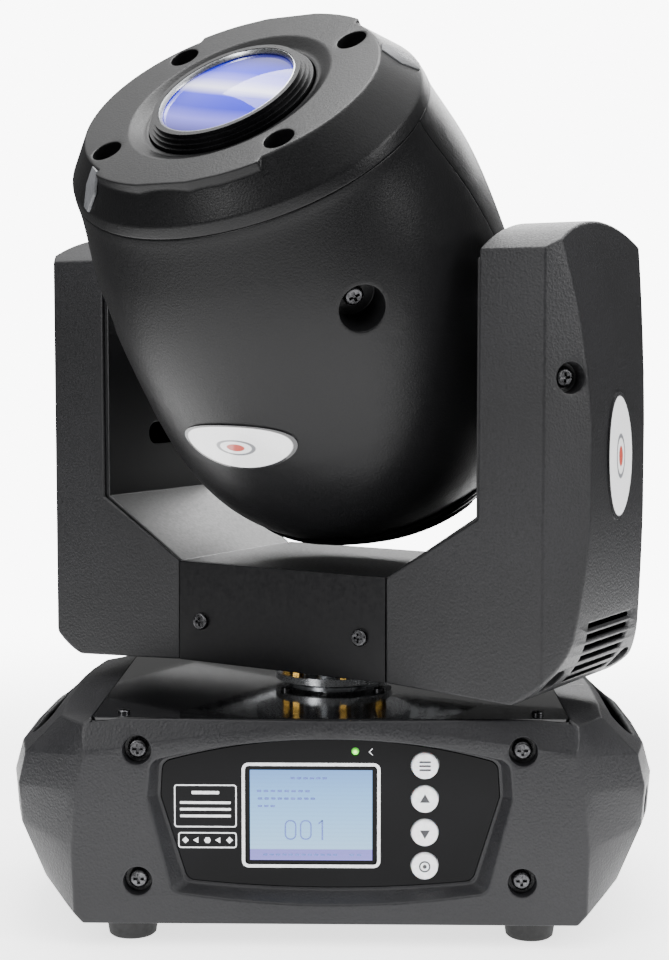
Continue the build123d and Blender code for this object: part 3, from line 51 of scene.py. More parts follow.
def linearColour(hexText):
    parts = [int(hexText[i:i + 2], 16) / 255 for i in (1, 3, 5)]
    return [c / 12.92 if c <= 0.04045 else ((c + 0.055) / 1.055) ** 2.4 for c in parts] + [1]


def perMetre(size):
    return 1000 / size  # pattern scale for a feature of that many millimetres


def addNode(tree, kind, values=None, links=None, **settings):
    node = tree.nodes.new(kind)
    for name, value in settings.items():
        setattr(node, name, value)
    for socket, value in (values or {}).items():
        node.inputs[socket].default_value = value
    for socket, source in (links or {}).items():
        tree.links.new(source, node.inputs[socket])
    return node


def startMaterial(name, values):
    material = bpy.data.materials.new(name)
    material.use_nodes = True
    tree = material.node_tree
    tree.nodes.clear()
    shader = addNode(tree, "ShaderNodeBsdfPrincipled", values)
    addNode(tree, "ShaderNodeOutputMaterial", links={"Surface": shader.outputs[0]})
    place = addNode(tree, "ShaderNodeTexCoord").outputs["Object"]
    return material, tree, shader, place


def colourRamp(tree, source, stops):
    ramp = addNode(tree, "ShaderNodeValToRGB", links={0: source})
    elements = ramp.color_ramp.elements
    while len(elements) < len(stops):
        elements.new(0.5)
    for element, (position, colour) in zip(elements, stops):
        element.position = position
        element.color = linearColour(colour) if isinstance(colour, str) else (colour, colour, colour, 1)
    return ramp.outputs[0]


# One recipe covers the moulded, painted, plated and machined finishes: a broad drift of colour, a grain
# that gives both roughness and bump, and a fine scatter of dust or rub marks.
def makeFinish(name, dark, light, roughness, grain, bump=0.15, metallic=0.0, coat=0.0, ior=1.5,
               drift=60.0, stretch=(1, 1, 1), spread=0.08, fleck=None, turned=None, subsurface=0.0, glow=0.0):
    material, tree, shader, place = startMaterial(name, {
        "Metallic": metallic, "IOR": ior, "Coat Weight": coat, "Coat Roughness": 0.04})
    if glow:
        shader.inputs["Emission Color"].default_value = (1, 1, 1, 1)
        shader.inputs["Emission Strength"].default_value = glow
    if subsurface:
        shader.inputs["Subsurface Weight"].default_value = subsurface
        shader.inputs["Subsurface Scale"].default_value = 0.002
    if turned is not None:
        place = addNode(tree, "ShaderNodeMapping", {"Location": turned.to_translation(),
                        "Rotation": turned.to_euler()}, {"Vector": place}, vector_type="TEXTURE").outputs[0]
    grainPlace = addNode(tree, "ShaderNodeMapping", {"Scale": stretch}, {"Vector": place}).outputs[0]
    broad = addNode(tree, "ShaderNodeTexNoise", {"Scale": perMetre(drift), "Detail": 3.0},
                    {"Vector": place}).outputs[0]
    fine = addNode(tree, "ShaderNodeTexNoise", {"Scale": perMetre(grain), "Detail": 2.0},
                   {"Vector": grainPlace}).outputs[0]
    blend = addNode(tree, "ShaderNodeMath", links={0: broad, 1: fine}, operation="MULTIPLY_ADD",
                    values={2: 0.0}).outputs[0]
    tree.links.new(colourRamp(tree, blend, ((0.12, dark), (0.42, light))), shader.inputs["Base Color"])
    tree.links.new(colourRamp(tree, fine, ((0.3, max(roughness - spread, 0.02)), (0.7, roughness + spread))),
                   shader.inputs["Roughness"])
    height = fine
    if fleck:
        cells = addNode(tree, "ShaderNodeTexVoronoi", {"Scale": perMetre(fleck)}, {"Vector": grainPlace})
        height = addNode(tree, "ShaderNodeMath", links={0: fine, 1: cells.outputs["Distance"]},
                         operation="ADD").outputs[0]
    bumped = addNode(tree, "ShaderNodeBump", {"Strength": bump, "Distance": 0.0003}, {"Height": height})
    tree.links.new(bumped.outputs[0], shader.inputs["Normal"])
    return material


def paint(material, *names):
    for name in names:
        piece = nodes[name]
        piece.data.materials.clear()
        piece.data.materials.append(material)


def finishPiece(shape, name, body, material, smooth=35, place=None):
    if place is not None:
        bmesh.ops.transform(shape, matrix=place, verts=shape.verts)
    for face in shape.faces:
        face.smooth = True
    for edge in shape.edges:
        if len(edge.link_faces) == 2:
            edge.smooth = edge.calc_face_angle(0) < radians(smooth)
    mesh = bpy.data.meshes.new(name)
    shape.to_mesh(mesh)
    shape.free()
    piece = bpy.data.objects.new(name, mesh)
    bpy.context.scene.collection.objects.link(piece)
    mesh.materials.append(material)
    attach(piece, body)
    return piece


# A copy of a CAD solid's surface, merged and with its sharp edges rounded as a mould or a brake leaves them.
def roundedCopy(node, name, body, material, radius, sharp=22, segments=2):
    mesh = nodes[node].data.copy()
    if "custom_normal" in mesh.attributes:
        mesh.attributes.remove(mesh.attributes["custom_normal"])
    mesh.materials.clear()
    shape = bmesh.new()
    shape.from_mesh(mesh)
    bmesh.ops.remove_doubles(shape, verts=shape.verts, dist=2e-6)
    bmesh.ops.dissolve_limit(shape, angle_limit=radians(0.6), verts=shape.verts, edges=shape.edges)
    bmesh.ops.triangulate(shape, faces=shape.faces[:])  # a face that winds round a hole bevels badly
    edges = [edge for edge in shape.edges
             if len(edge.link_faces) == 2 and edge.calc_face_angle(0) > radians(sharp)]
    bmesh.ops.bevel(shape, geom=edges, offset=radius * mm, offset_type="OFFSET", affect="EDGES",
                    segments=segments, profile=0.5, material=-1, clamp_overlap=False)
    piece = finishPiece(shape, name, body, material, smooth=40)
    weigh = piece.modifiers.new("flatFaces", "WEIGHTED_NORMAL")
    weigh.keep_sharp = True
    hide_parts(node)
    return piece


# ---- camera, light and floor ----

view = {"place": (18.3, -910.7, 284.6), "forward": (-0.0196, 0.9967, -0.0782), "lens": 66.66}
cameraData = bpy.data.cameras.new("camera")
cameraData.lens = view["lens"]
cameraData.sensor_width = 36
camera = bpy.data.objects.new("camera", cameraData)
camera.location = Vector(view["place"]) * mm
camera.rotation_euler = Vector(view["forward"]).to_track_quat("-Z", "Y").to_euler()
bpy.context.scene.collection.objects.link(camera)
bpy.context.scene.camera = camera

# The room is dim at eye level and bright overhead, so upright black plastic stays black and the floor stays
# white. The camera itself sees plain white behind the light.
sky = {"eyeLevel": 0.16, "overhead": 3.0, "seen": 9.0}
world = bpy.data.worlds.new("studio")
world.use_nodes = True
studio = world.node_tree
backdrop = studio.nodes["Background"]
backdrop.inputs[0].default_value = (1, 1, 1, 1)
direction = addNode(studio, "ShaderNodeTexCoord").outputs["Generated"]
heightAbove = addNode(studio, "ShaderNodeSeparateXYZ", links={0: direction}).outputs[2]
glow = addNode(studio, "ShaderNodeMapRange", {1: 0.3, 2: 0.95, 3: sky["eyeLevel"], 4: sky["overhead"]},
               {0: heightAbove}, interpolation_type="SMOOTHSTEP").outputs[0]
seen = addNode(studio, "ShaderNodeLightPath").outputs["Is Camera Ray"]
strength = addNode(studio, "ShaderNodeMix", {3: sky["seen"]}, {0: seen, 2: glow}, data_type="FLOAT").outputs[0]
studio.links.new(strength, backdrop.inputs[1])
bpy.context.scene.world = world

softBoxes = {
    "keyLeft": {"from": (-750, -950, 620), "to": (60, 0, 260), "size": (300, 700), "power": 8},
    "sideRight": {"from": (900, -560, 620), "to": (0, 0, 200), "size": (260, 700), "power": 8},
    "topBox": {"from": (-60, 150, 1300), "to": (0, 0, 250), "size": (700, 500), "power": 15},
    "backBox": {"from": (300, 1100, 900), "to": (0, 0, 250), "size": (900, 600), "power": 14},
}
for name, box in softBoxes.items():
    data = bpy.data.lights.new(name, "AREA")
    data.shape = "RECTANGLE"
    data.size, data.size_y = (side * mm for side in box["size"])
    data.energy = box["power"]
    lamp = bpy.data.objects.new(name, data)
    lamp.location = Vector(box["from"]) * mm
    lamp.rotation_euler = (Vector(box["to"]) - Vector(box["from"])).to_track_quat("-Z", "Y").to_euler()
    bpy.context.scene.collection.objects.link(lamp)

floorShape = bmesh.new()
bmesh.ops.create_grid(floorShape, x_segments=1, y_segments=1, size=6)
floorMesh = bpy.data.meshes.new("floor")
floorShape.to_mesh(floorMesh)
floorShape.free()
floor = bpy.data.objects.new("floor", floorMesh)
bpy.context.scene.collection.objects.link(floor)
# Matt paper whose edge fades out, so there is no line where it ends.
paper = {"solid": 340, "gone": 900}
paperSweep = makeFinish("paperSweep", "#f8f8f8", "#ffffff", 0.75, 3, bump=0.02, drift=400, glow=2.0)
paperTree = paperSweep.node_tree
reach = addNode(paperTree, "ShaderNodeVectorMath",
                links={0: addNode(paperTree, "ShaderNodeTexCoord").outputs["Object"]}, operation="LENGTH")
fade = addNode(paperTree, "ShaderNodeMapRange", {1: paper["solid"] * mm, 2: paper["gone"] * mm, 3: 1.0, 4: 0.0},
               {0: reach.outputs["Value"]}, interpolation_type="SMOOTHSTEP").outputs[0]
paperTree.links.new(fade, next(node for node in paperTree.nodes
                               if node.type == "BSDF_PRINCIPLED").inputs["Alpha"])
floorMesh.materials.append(paperSweep)
print("camera, light and floor")


# ---- finishes ----

# ABS moulded in a spark eroded tool: satin black with a fine even grain. The real 0.3 mm grain is drawn at 0.9 mm.
sparkAbs = makeFinish("sparkErodedAbs", "#131315", "#1f1f21", 0.44, 0.9, bump=0.3, ior=1.36, fleck=1.3, drift=90)
# The yoke covers come from a coarser tool, so they look a touch greyer in the light.
yokeAbs = makeFinish("yokeCoverAbs", "#151516", "#222224", 0.46, 0.9, bump=0.32, ior=1.36, fleck=1.3, drift=90)
# Head shell ABS, finer grain: a smoother satin with long soft highlights.
headAbs = makeFinish("headShellAbs", "#0b0b0c", "#141415", 0.36, 0.7, bump=0.15, ior=1.27, fleck=1.1, drift=120,
                     turned=headFrame)
# Cast acrylic, polished: black and mirror smooth with a few polishing swirls.
acrylic = makeFinish("polishedAcrylic", "#020203", "#050507", 0.05, 25, bump=0.01, ior=1.18,
                     spread=0.02)
# Gloss powder coat on steel sheet: black, slightly rippled like orange peel.
powderGloss = makeFinish("glossPowderCoat", "#070708", "#0d0d0f", 0.12, 4, bump=0.05, coat=0.5, spread=0.03)
# Satin powder coat on the yoke's sheet metal.
powderSatin = makeFinish("satinPowderCoat", "#08080a", "#101011", 0.34, 2.2, bump=0.05, ior=1.3, spread=0.05)
# Semi matt powder coat inside the yoke, which picks up a soft grey sheen from the floor.
frameCoat = makeFinish("semiMattPowderCoat", "#131314", "#1d1d1e", 0.42, 1.6, bump=0.1, spread=0.05)
# Zinc plated steel: pale metal with cloudy patches from the bath.
zinc = makeFinish("zincPlatedSteel", "#8d9094", "#b9bcc0", 0.3, 6, metallic=1.0, bump=0.05, drift=25)
# Black zinc screws: dark metal with rubbed crests.
blackZinc = makeFinish("blackZincScrew", "#2a2a2b", "#5c5c5e", 0.3, 1.2, metallic=1.0, bump=0.1, drift=4)
# Turned brass with fine tool rings.
brass = makeFinish("turnedBrass", "#a67c2e", "#d8b15c", 0.22, 1.0, metallic=1.0, bump=0.08,
                   stretch=(1, 1, 6), drift=8)
# Moulded rubber: dull black, slightly dusty.
rubber = makeFinish("mouldedRubber", "#0e0e0f", "#1c1c1c", 0.75, 1.5, bump=0.3, drift=20)
# Neoprene timing belt with a woven nylon face.
belt = makeFinish("neopreneBelt", "#0c0c0c", "#1a1a1a", 0.65, 0.8, bump=0.5, stretch=(1, 1, 4), drift=15)
# White ABS keys, polished in the tool.
whiteAbs = makeFinish("polishedWhiteAbs", "#d9dadd", "#f2f3f5", 0.2, 2.5, bump=0.03, coat=0.3,
                      subsurface=0.1)
# Printed vinyl badge under a clear film.
vinyl = makeFinish("printedVinyl", "#e8e9ea", "#fbfbfb", 0.22, 3, bump=0.02, coat=0.6)
# Anodised aluminium, machined: pale satin metal with turning marks.
machined = makeFinish("machinedAluminium", "#9a9c9f", "#c9cbce", 0.28, 1.2, metallic=1.0, bump=0.1,
                      stretch=(1, 1, 5), drift=30)
# Black anodised aluminium barrel.
blackAnodised = makeFinish("blackAnodised", "#08080a", "#121214", 0.33, 0.8, metallic=0.6, bump=0.1, drift=20,
                           turned=headFrame)
# Lacquered motor iron: black with faint lamination lines.
motorIron = makeFinish("lacqueredMotor", "#151516", "#2b2b2d", 0.4, 0.8, metallic=0.4, bump=0.25,
                       stretch=(1, 1, 12), drift=20)
# Black nylon connectors.
nylon = makeFinish("mouldedNylon", "#121213", "#1e1e20", 0.45, 0.8, bump=0.15, drift=30)
# Glass fibre circuit board under green solder mask.
solderMask = makeFinish("greenSolderMask", "#0b3a22", "#15603a", 0.3, 2.0, bump=0.1, coat=0.3, drift=9)
print("finishes")

paint(powderGloss, "base_top_plate", "rear_panel")
paint(powderSatin, "base_tray")
paint(rubber, "base_feet")
paint(blackZinc, "base_screws", "yoke_screws", "head_screws")
paint(acrylic, "display_fascia")
paint(solderMask, "display_board", "control_board")
paint(zinc, "power_supply", "pan_bearing", "tilt_bearings", "yoke_base_plate", "head_chassis", "safety_eye")
paint(motorIron, "pan_motor", "tilt_motor")
paint(belt, "pan_belt", "tilt_belt")
paint(machined, "pan_shaft", "pan_pulley", "pan_motor_pulley", "tilt_motor_pulley", "tilt_pulley",
      "tilt_shafts", "heat_sink", "focus_carriage", "led_engine", "focus_rods", "colour_wheel", "gobo_wheel")
paint(brass, "hub_studs")
paint(nylon, "power_inlet", "dmx_input", "dmx_output", "fuse_holder", "switch_frame", "power_rocker",
      "fan_frame", "fan_impeller")
paint(whiteAbs, "menu_button", "up_button", "down_button", "enter_button")
paint(vinyl, "arm_badges", "head_badge")
paint(blackAnodised, "lens_barrel")

# ---- softened shells ----

roundedCopy("base_front_cover", "baseFrontShell", "base", sparkAbs, 0.9)
roundedCopy("base_rear_cover", "baseRearShell", "base", sparkAbs, 0.9)
roundedCopy("right_arm_cover", "rightArmShell", "yoke", yokeAbs, 1.2)
roundedCopy("left_arm_cover", "leftArmShell", "yoke", yokeAbs, 1.2)
roundedCopy("head_front_shell", "headFrontShell", "head", headAbs, 0.7)
roundedCopy("head_rear_shell", "headRearShell", "head", headAbs, 0.7)
roundedCopy("head_bezel", "headBezel", "head", headAbs, 0.9)
roundedCopy("yoke_centre_plates", "yokeCentrePlates", "yoke", powderSatin, 0.4)
roundedCopy("yoke_frame", "yokeSheetFrame", "yoke", frameCoat, 0.5)
print("softened shells")


# ---- printed and moulded details ----

def addShape(target, part, place):
    bmesh.ops.transform(part, matrix=place, verts=part.verts)
    carrier = bpy.data.meshes.new("carrier")
    part.to_mesh(carrier)
    part.free()
    target.from_mesh(carrier)
    bpy.data.meshes.remove(carrier)


def thicken(part, height):
    grown = bmesh.ops.extrude_face_region(part, geom=part.faces[:])["geom"]
    raised = [item for item in grown if isinstance(item, bmesh.types.BMVert)]
    bmesh.ops.translate(part, vec=(0, 0, height), verts=raised)
    bmesh.ops.recalc_face_normals(part, faces=part.faces)


# A flat plate with round corners, or the ring left when its middle is cut out. Sizes in millimetres.
def roundPlate(width, height, corner, thickness, ring=0.0):
    part = bmesh.new()
    bmesh.ops.create_grid(part, x_segments=1, y_segments=1, size=0.5)
    bmesh.ops.scale(part, vec=(width, height, 1), verts=part.verts)
    if corner:
        bmesh.ops.bevel(part, geom=part.verts[:], offset=corner, offset_type="OFFSET", affect="VERTICES",
                        segments=5, profile=0.5, material=-1, clamp_overlap=True)
    if ring:
        border = set(bmesh.ops.inset_region(part, faces=part.faces[:], thickness=ring, use_boundary=True,
                                            use_even_offset=True)["faces"])
        bmesh.ops.delete(part, geom=[face for face in part.faces if face not in border], context="FACES")
    thicken(part, thickness)
    return part


def polygonPlate(sides, width, height, thickness, turn=0.0):
    part = bmesh.new()
    bmesh.ops.create_circle(part, cap_ends=True, segments=sides, radius=0.5)
    bmesh.ops.rotate(part, cent=(0, 0, 0), matrix=Matrix.Rotation(radians(turn), 3, "Z"), verts=part.verts)
    bmesh.ops.scale(part, vec=(width, height, 1), verts=part.verts)
    thicken(part, thickness)
    return part


def onFront(x, z, y, turn=0.0):
    return (Matrix.Scale(mm, 4) @ Matrix.Translation((x, y, z)) @ frontFrame
            @ Matrix.Rotation(radians(turn), 4, "Z"))


display = {
    "fasciaY": -89.0, "glassY": -88.5, "buttonY": -91.2, "ink": 0.12,
    "screen": (-8.9, 61.7, 57.6, 43.2), "border": (65.3, 50.2, 3.2, 1.5),
    "labels": ((-58.7, 66, 29.5, 20.5), (-57.8, 49.6, 27.7, 7.6)), "labelLine": 0.6,
    "buttonX": 44.6, "buttonZ": (86.0, 70.0, 54.0, 38.0), "lamp": (11.9, 92.2), "chevron": (19.2, 92.2),
}


def screenMaterial():
    # Lit TFT picture: pale blue that deepens to the top, a violet bar at the bottom and a faint pixel grid.
    material, tree, shader, place = startMaterial("litTftPicture", {
        "Base Color": (0, 0, 0, 1), "Roughness": 0.12, "Coat Weight": 1.0, "Coat Roughness": 0.03})
    x, z, width, height = display["screen"]
    axes = addNode(tree, "ShaderNodeSeparateXYZ", links={0: place})
    rise = addNode(tree, "ShaderNodeMapRange", {1: (z - height / 2) * mm, 2: (z + height / 2) * mm},
                   {0: axes.outputs[2]}).outputs[0]
    picture = colourRamp(tree, rise, ((0.0, "#6a62e0"), (0.118, "#6259d8"), (0.124, "#8fd0ff"),
                                      (0.45, "#6fc2ff"), (0.8, "#45a8f5"), (1.0, "#258ee6")))
    grid = addNode(tree, "ShaderNodeTexWave", {"Scale": perMetre(6.3)}, {"Vector": place},
                   bands_direction="Z").outputs[1]
    shade = colourRamp(tree, grid, ((0.0, 0.93), (0.5, 1.0)))
    lit = addNode(tree, "ShaderNodeMix", {0: 1.0}, {6: picture, 7: shade}, data_type="RGBA",
                  blend_type="MULTIPLY").outputs[2]
    tree.links.new(lit, shader.inputs["Emission Color"])
    shader.inputs["Emission Strength"].default_value = 1.5
    return material


# Screen printed ink: opaque, a little thinner and greyer at its edges where the mesh shows.
whiteInk = makeFinish("whiteScreenInk", "#d5d6d8", "#f5f5f6", 0.45, 0.8, bump=0.05, drift=6)
darkInk = makeFinish("darkScreenInk", "#1f2023", "#3a3b40", 0.5, 0.8, bump=0.05, drift=6)
screenInk = makeFinish("screenDigits", "#4a5fa6", "#5c72b8", 0.4, 0.8, bump=0.02, drift=6)

screenX, screenZ, screenWidth, screenHeight = display["screen"]
picture = bmesh.new()
addShape(picture, roundPlate(screenWidth, screenHeight, 0, 0.1), onFront(screenX, screenZ, display["glassY"]))
finishPiece(picture, "screenPicture", "base", screenMaterial())

digits = bmesh.new()
inkY = display["glassY"] - 0.1
for step in (0, 1):
    addShape(digits, roundPlate(5.6, 9.6, 2.6, 0.05, 0.7), onFront(-18.6 + 7.2 * step, 54.6, inkY))
addShape(digits, roundPlate(0.8, 9.6, 0, 0.05), onFront(-3.6, 54.6, inkY))
addShape(digits, roundPlate(2.4, 0.7, 0, 0.05), onFront(-4.5, 58.4, inkY, 40))
textRows = ((-10, 79.4, 18, 1.1), (-22, 73.2, 26, 1.1), (-20.5, 69.6, 28, 1.1), (-30, 66.0, 9, 1.0),
            (-14, 42.7, 36, 0.9), (12, 42.7, 7, 0.9))
for x, z, width, height in textRows:
    pieces = int(width / 3)
    for number in range(pieces):
        addShape(digits, roundPlate(2.2, height, 0.3, 0.05),
                 onFront(x - width / 2 + (number + 0.5) * width / pieces, z, inkY))
finishPiece(digits, "screenDigits", "base", screenInk)

frontPrint = bmesh.new()
borderWidth, borderHeight, borderCorner, borderLine = display["border"]
addShape(frontPrint, roundPlate(borderWidth, borderHeight, borderCorner, display["ink"], borderLine),
         onFront(screenX, screenZ, display["fasciaY"]))
for x, z, width, height in display["labels"]:
    addShape(frontPrint, roundPlate(width, height, 1.4, display["ink"], display["labelLine"]),
             onFront(x, z, display["fasciaY"]))
for z, width, height in ((72.4, 13, 1.5), (67.6, 24, 1.2), (64.4, 24, 1.2), (61.2, 24, 1.2)):
    addShape(frontPrint, roundPlate(width, height, 0.4, display["ink"]), onFront(-58.7, z, display["fasciaY"]))
for number, sides in enumerate((4, 3, 6, 3, 4)):
    addShape(frontPrint, polygonPlate(sides, 3.2, 3.2, display["ink"], 90),
             onFront(-68.2 + 5.2 * number, 49.6, display["fasciaY"]))
chevronX, chevronZ = display["chevron"]
for side in (-1, 1):
    addShape(frontPrint, roundPlate(2.2, 0.4, 0, display["ink"]),
             onFront(chevronX, chevronZ + side * 0.75, display["fasciaY"], side * 45))
finishPiece(frontPrint, "fasciaPrint", "base", whiteInk)

marks = {"menu": [(0, 1.9, 5.4, 0.8), (0, 0, 5.4, 0.8), (0, -1.9, 5.4, 0.8)], "up": 90, "down": -90, "enter": None}
for (mark, content), z in zip(marks.items(), display["buttonZ"]):
    icon = bmesh.new()
    if mark == "menu":
        for x, rise, width, height in content:
            addShape(icon, roundPlate(width, height, 0.3, display["ink"]),
                     onFront(display["buttonX"] + x, z + rise, display["buttonY"]))
    elif mark == "enter":
        addShape(icon, roundPlate(5.4, 5.4, 2.6, display["ink"], 0.7),
                 onFront(display["buttonX"], z, display["buttonY"]))
        addShape(icon, polygonPlate(16, 1.9, 1.9, display["ink"]),
                 onFront(display["buttonX"], z, display["buttonY"]))
    else:
        addShape(icon, polygonPlate(3, 5.4, 5.4, display["ink"], content - 90),
                 onFront(display["buttonX"], z, display["buttonY"]))
    finishPiece(icon, mark + "KeyIcon", mark + "_key", darkInk)


def lampMaterial():
    # Clear green epoxy lens, lit from inside: bright at its middle, deeper at its rim.
    material, tree, shader, place = startMaterial("litGreenEpoxy", {
        "Roughness": 0.15, "Coat Weight": 0.6, "Emission Strength": 2.2})
    x, z = display["lamp"]
    centred = addNode(tree, "ShaderNodeMapping", {"Location": (x * mm, 0, z * mm), "Scale": (0.0018, 1e3, 0.0018)},
                      {"Vector": place}, vector_type="TEXTURE").outputs[0]
    reach = addNode(tree, "ShaderNodeVectorMath", links={0: centred}, operation="LENGTH").outputs["Value"]
    glow = colourRamp(tree, reach, ((0.0, "#c9ff7a"), (0.5, "#63d82c"), (1.0, "#1c7a12")))
    for socket in ("Base Color", "Emission Color"):
        tree.links.new(glow, shader.inputs[socket])
    return material


paint(lampMaterial(), "status_led")
paint(acrylic, "lcd_module")


def badgeMaterial(name, place, centre, halfSize):
    # Printed vinyl oval: white with a dark rim and a plain ring and dot as a neutral mark.
    material, tree, shader, where = startMaterial(name, {
        "Roughness": 0.25, "Coat Weight": 0.7, "Coat Roughness": 0.05})
    local = addNode(tree, "ShaderNodeMapping", {"Location": place.to_translation(), "Rotation": place.to_euler()},
                    {"Vector": where}, vector_type="TEXTURE").outputs[0]
    oval = addNode(tree, "ShaderNodeMapping", {"Location": [c * mm for c in centre],
                   "Scale": [h * mm for h in halfSize]}, {"Vector": local}, vector_type="TEXTURE").outputs[0]
    reach = addNode(tree, "ShaderNodeVectorMath", links={0: oval}, operation="LENGTH").outputs["Value"]
    print_ = colourRamp(tree, reach, ((0.0, "#b5473c"), (0.15, "#b5473c"), (0.17, "#f1f1f2"), (0.27, "#f1f1f2"),
                                      (0.29, "#77787c"), (0.34, "#77787c"), (0.36, "#f4f4f5"), (0.92, "#f4f4f5"),
                                      (0.94, "#1c1c1e")))
    speck = addNode(tree, "ShaderNodeTexNoise", {"Scale": perMetre(0.9)}, {"Vector": where}).outputs[0]
    shade = colourRamp(tree, speck, ((0.3, 0.94), (0.7, 1.0)))
    colour = addNode(tree, "ShaderNodeMix", {0: 1.0}, {6: print_, 7: shade}, data_type="RGBA",
                     blend_type="MULTIPLY").outputs[2]
    tree.links.new(colour, shader.inputs["Base Color"])
    bumped = addNode(tree, "ShaderNodeBump", {"Strength": 0.05, "Distance": 0.0002}, {"Height": speck})
    tree.links.new(bumped.outputs[0], shader.inputs["Normal"])
    return material


flat = 1e6  # an axis that doesn't count
paint(badgeMaterial("armBadgeVinyl", yokeFrame, (0, 0, 231), (flat, 14, 30)), "arm_badges")
paint(badgeMaterial("headBadgeVinyl", headFrame, (0, 0, 14), (32, flat, 13.5)), "head_badge")


def lensMaterial():
    # Coated optical glass over a dark barrel: its blue and violet bands are a painted reflection and its broad
    # pale band is a painted highlight, both fixed to the lens, and the glass glows a little.
    material, tree, shader, place = startMaterial("coatedLensGlass", {
        "Roughness": 0.04, "IOR": 1.33, "Coat Weight": 0.25, "Coat Roughness": 0.01})
    local = addNode(tree, "ShaderNodeMapping", {"Location": headFrame.to_translation(),
                    "Rotation": (headFrame @ Matrix.Rotation(radians(-14), 4, "Z")).to_euler()},
                    {"Vector": place}, vector_type="TEXTURE").outputs[0]
    axes = addNode(tree, "ShaderNodeSeparateXYZ", links={0: local})
    bow = addNode(tree, "ShaderNodeMath", {1: 2.0}, {0: axes.outputs[0]}, operation="POWER").outputs[0]
    bent = addNode(tree, "ShaderNodeMath", {1: -7.0}, {0: bow, 2: axes.outputs[1]},
                   operation="MULTIPLY_ADD").outputs[0]
    across = addNode(tree, "ShaderNodeMapRange", {1: -0.034, 2: 0.034}, {0: bent}).outputs[0]
    # Painted reflection: dark, blue, violet and near-white bands laid across the lens as base colour.
    paintedReflectionBands = colourRamp(tree, across, ((0.0, "#120f30"), (0.14, "#6f6ad8"), (0.24, "#0a0cc0"), (0.36, "#0c0ed0"),
                                      (0.44, "#e6e6ff"), (0.54, "#7f7cf0"), (0.64, "#0d10d8"), (0.84, "#0a0a78"),
                                      (1.0, "#0a0618")))
    drift = addNode(tree, "ShaderNodeTexNoise", {"Scale": perMetre(30)}, {"Vector": place}).outputs[0]
    paintedReflectionColour = addNode(tree, "ShaderNodeMix", {7: linearColour("#1d1580")},
                   {0: addNode(tree, "ShaderNodeMath", {1: 0.25}, {0: drift}, operation="MULTIPLY").outputs[0],
                    6: paintedReflectionBands}, data_type="RGBA").outputs[2]
    tree.links.new(paintedReflectionColour, shader.inputs["Base Color"])
    tree.links.new(paintedReflectionColour, shader.inputs["Emission Color"])
    # The glass glows faintly by itself, a painted glow that stands in for light on the coating.
    shader.inputs["Emission Strength"].default_value = 0.75
    return material


paint(lensMaterial(), "front_lens")

# Steps and the bright retaining ring around the lens, spun about the optical axis.
lensRing = {"profile": ((34.1, 142.7), (34.1, 145.2), (33.6, 145.4), (33.0, 144.8), (32.5, 143.5), (32.8, 142.9))}


def spunPiece(name, profile, body, material, place, steps=96):
    shape = bmesh.new()
    verts = [shape.verts.new((r * mm, 0, z * mm)) for r, z in profile]
    edges = [shape.edges.new(pair) for pair in zip(verts, verts[1:] + verts[:1])]
    bmesh.ops.spin(shape, geom=verts + edges, cent=(0, 0, 0), axis=(0, 0, 1), angle=2 * pi, steps=steps,
                   use_merge=True)
    bmesh.ops.remove_doubles(shape, verts=shape.verts, dist=1e-7)
    bmesh.ops.recalc_face_normals(shape, faces=shape.faces)
    return finishPiece(shape, name, body, material, place=place)


spunPiece("lensRetainer", lensRing["profile"], "head", machined, headFrame)

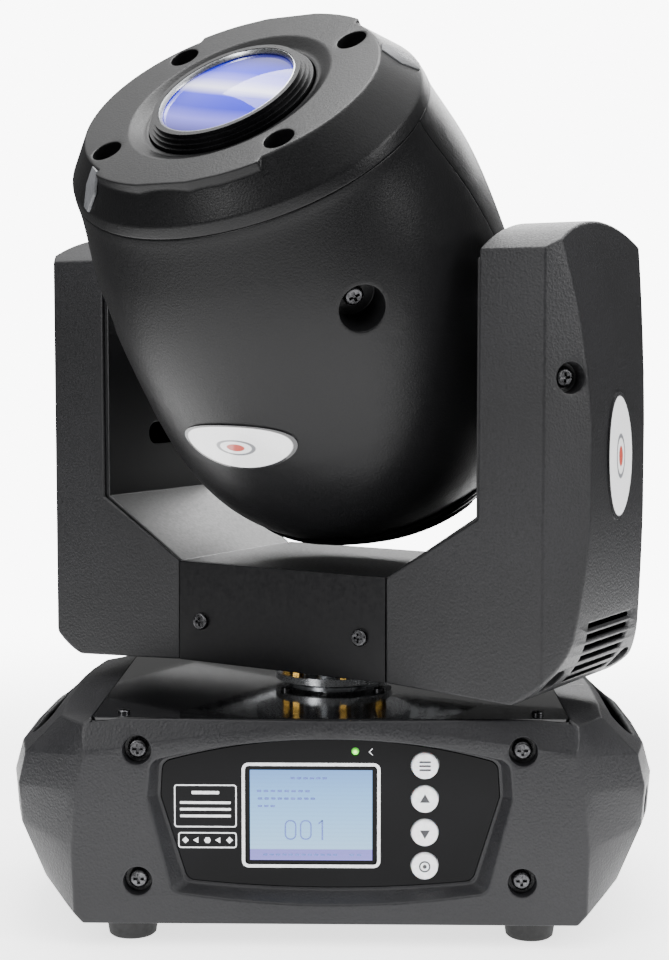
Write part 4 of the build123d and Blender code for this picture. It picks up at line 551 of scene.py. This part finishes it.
# Raised ribs that follow the rounded end of the head, front and rear.
ribs = {"rings": ((82.3, 79.2, -71.5), (77.8, 73.6, -77.5), (72.6, 67.0, -83.8), (66.8, 59.6, -90.4)),
        "middle": -78, "spread": 52, "width": 1.7, "proud": 1.3, "steps": 40}
ribShape = bmesh.new()
for side in (0, 180):
    for halfWidth, halfDepth, height in ribs["rings"]:
        previous = None
        for step in range(ribs["steps"] + 1):
            turn = radians(ribs["middle"] + side + ribs["spread"] * (2 * step / ribs["steps"] - 1))
            fadeOut = sin(pi * step / ribs["steps"]) ** 0.4
            corners = [ribShape.verts.new(headFrame @ (Vector((
                (halfWidth + grow) * cos(turn), (halfDepth + grow) * sin(turn), height + lift)) * mm))
                for grow, lift in ((-1.5, 0), (ribs["proud"] * fadeOut, -0.4),
                                   (ribs["proud"] * fadeOut, -ribs["width"]), (-2.5, -ribs["width"] - 1.2))]
            if previous:
                for corner in range(4):
                    ribShape.faces.new((previous[corner], previous[corner - 3], corners[corner - 3],
                                        corners[corner]))
            else:
                ribShape.faces.new(corners)
            previous = corners
        ribShape.faces.new(previous[::-1])
bmesh.ops.recalc_face_normals(ribShape, faces=ribShape.faces)
finishPiece(ribShape, "headEndRibs", "head", headAbs)

# Painted corner tabs of the bezel, lying on its slope on opposite sides.
tabGrey = makeFinish("greyTabPaint", "#4e4f51", "#66676a", 0.4, 0.9, bump=0.25, fleck=1.2, drift=12)
tab = {"azimuths": (-131.0, 24.7), "width": 13, "height": 23, "proud": 0.9,
       "plate": (75.5, 66.5, 142.0), "foot": (90.6, 78.4, 125.0)}


def onEllipse(azimuth, halfWidth, halfDepth, height):
    x, y = cos(radians(azimuth)), sin(radians(azimuth))
    reach = ((x / halfWidth) ** 2 + (y / halfDepth) ** 2) ** -0.5
    return Vector((x * reach, y * reach, height))


tabs = bmesh.new()
for azimuth in tab["azimuths"]:
    top, low = onEllipse(azimuth, *tab["plate"]), onEllipse(azimuth, *tab["foot"])
    down = (low - top).normalized()
    tangent = Vector((0, 0, 1)).cross(down).normalized()
    outward = tangent.cross(down).normalized()
    if outward.z < 0:
        tangent, outward = -tangent, -outward
    base = Matrix((tangent, -down, outward)).transposed().to_4x4()
    place = (headFrame @ Matrix.Scale(mm, 4) @ Matrix.Translation((top + low) / 2 - outward * 0.6) @ base)
    plate = polygonPlate(6, tab["width"], tab["height"], 0.6 + tab["proud"], 90)
    bmesh.ops.bevel(plate, geom=[e for e in plate.edges], offset=0.35, offset_type="OFFSET", affect="EDGES",
                    segments=2, profile=0.5, material=-1, clamp_overlap=True)
    addShape(tabs, plate, place)
finishPiece(tabs, "bezelTabs", "head", tabGrey)
print("printed and moulded details")
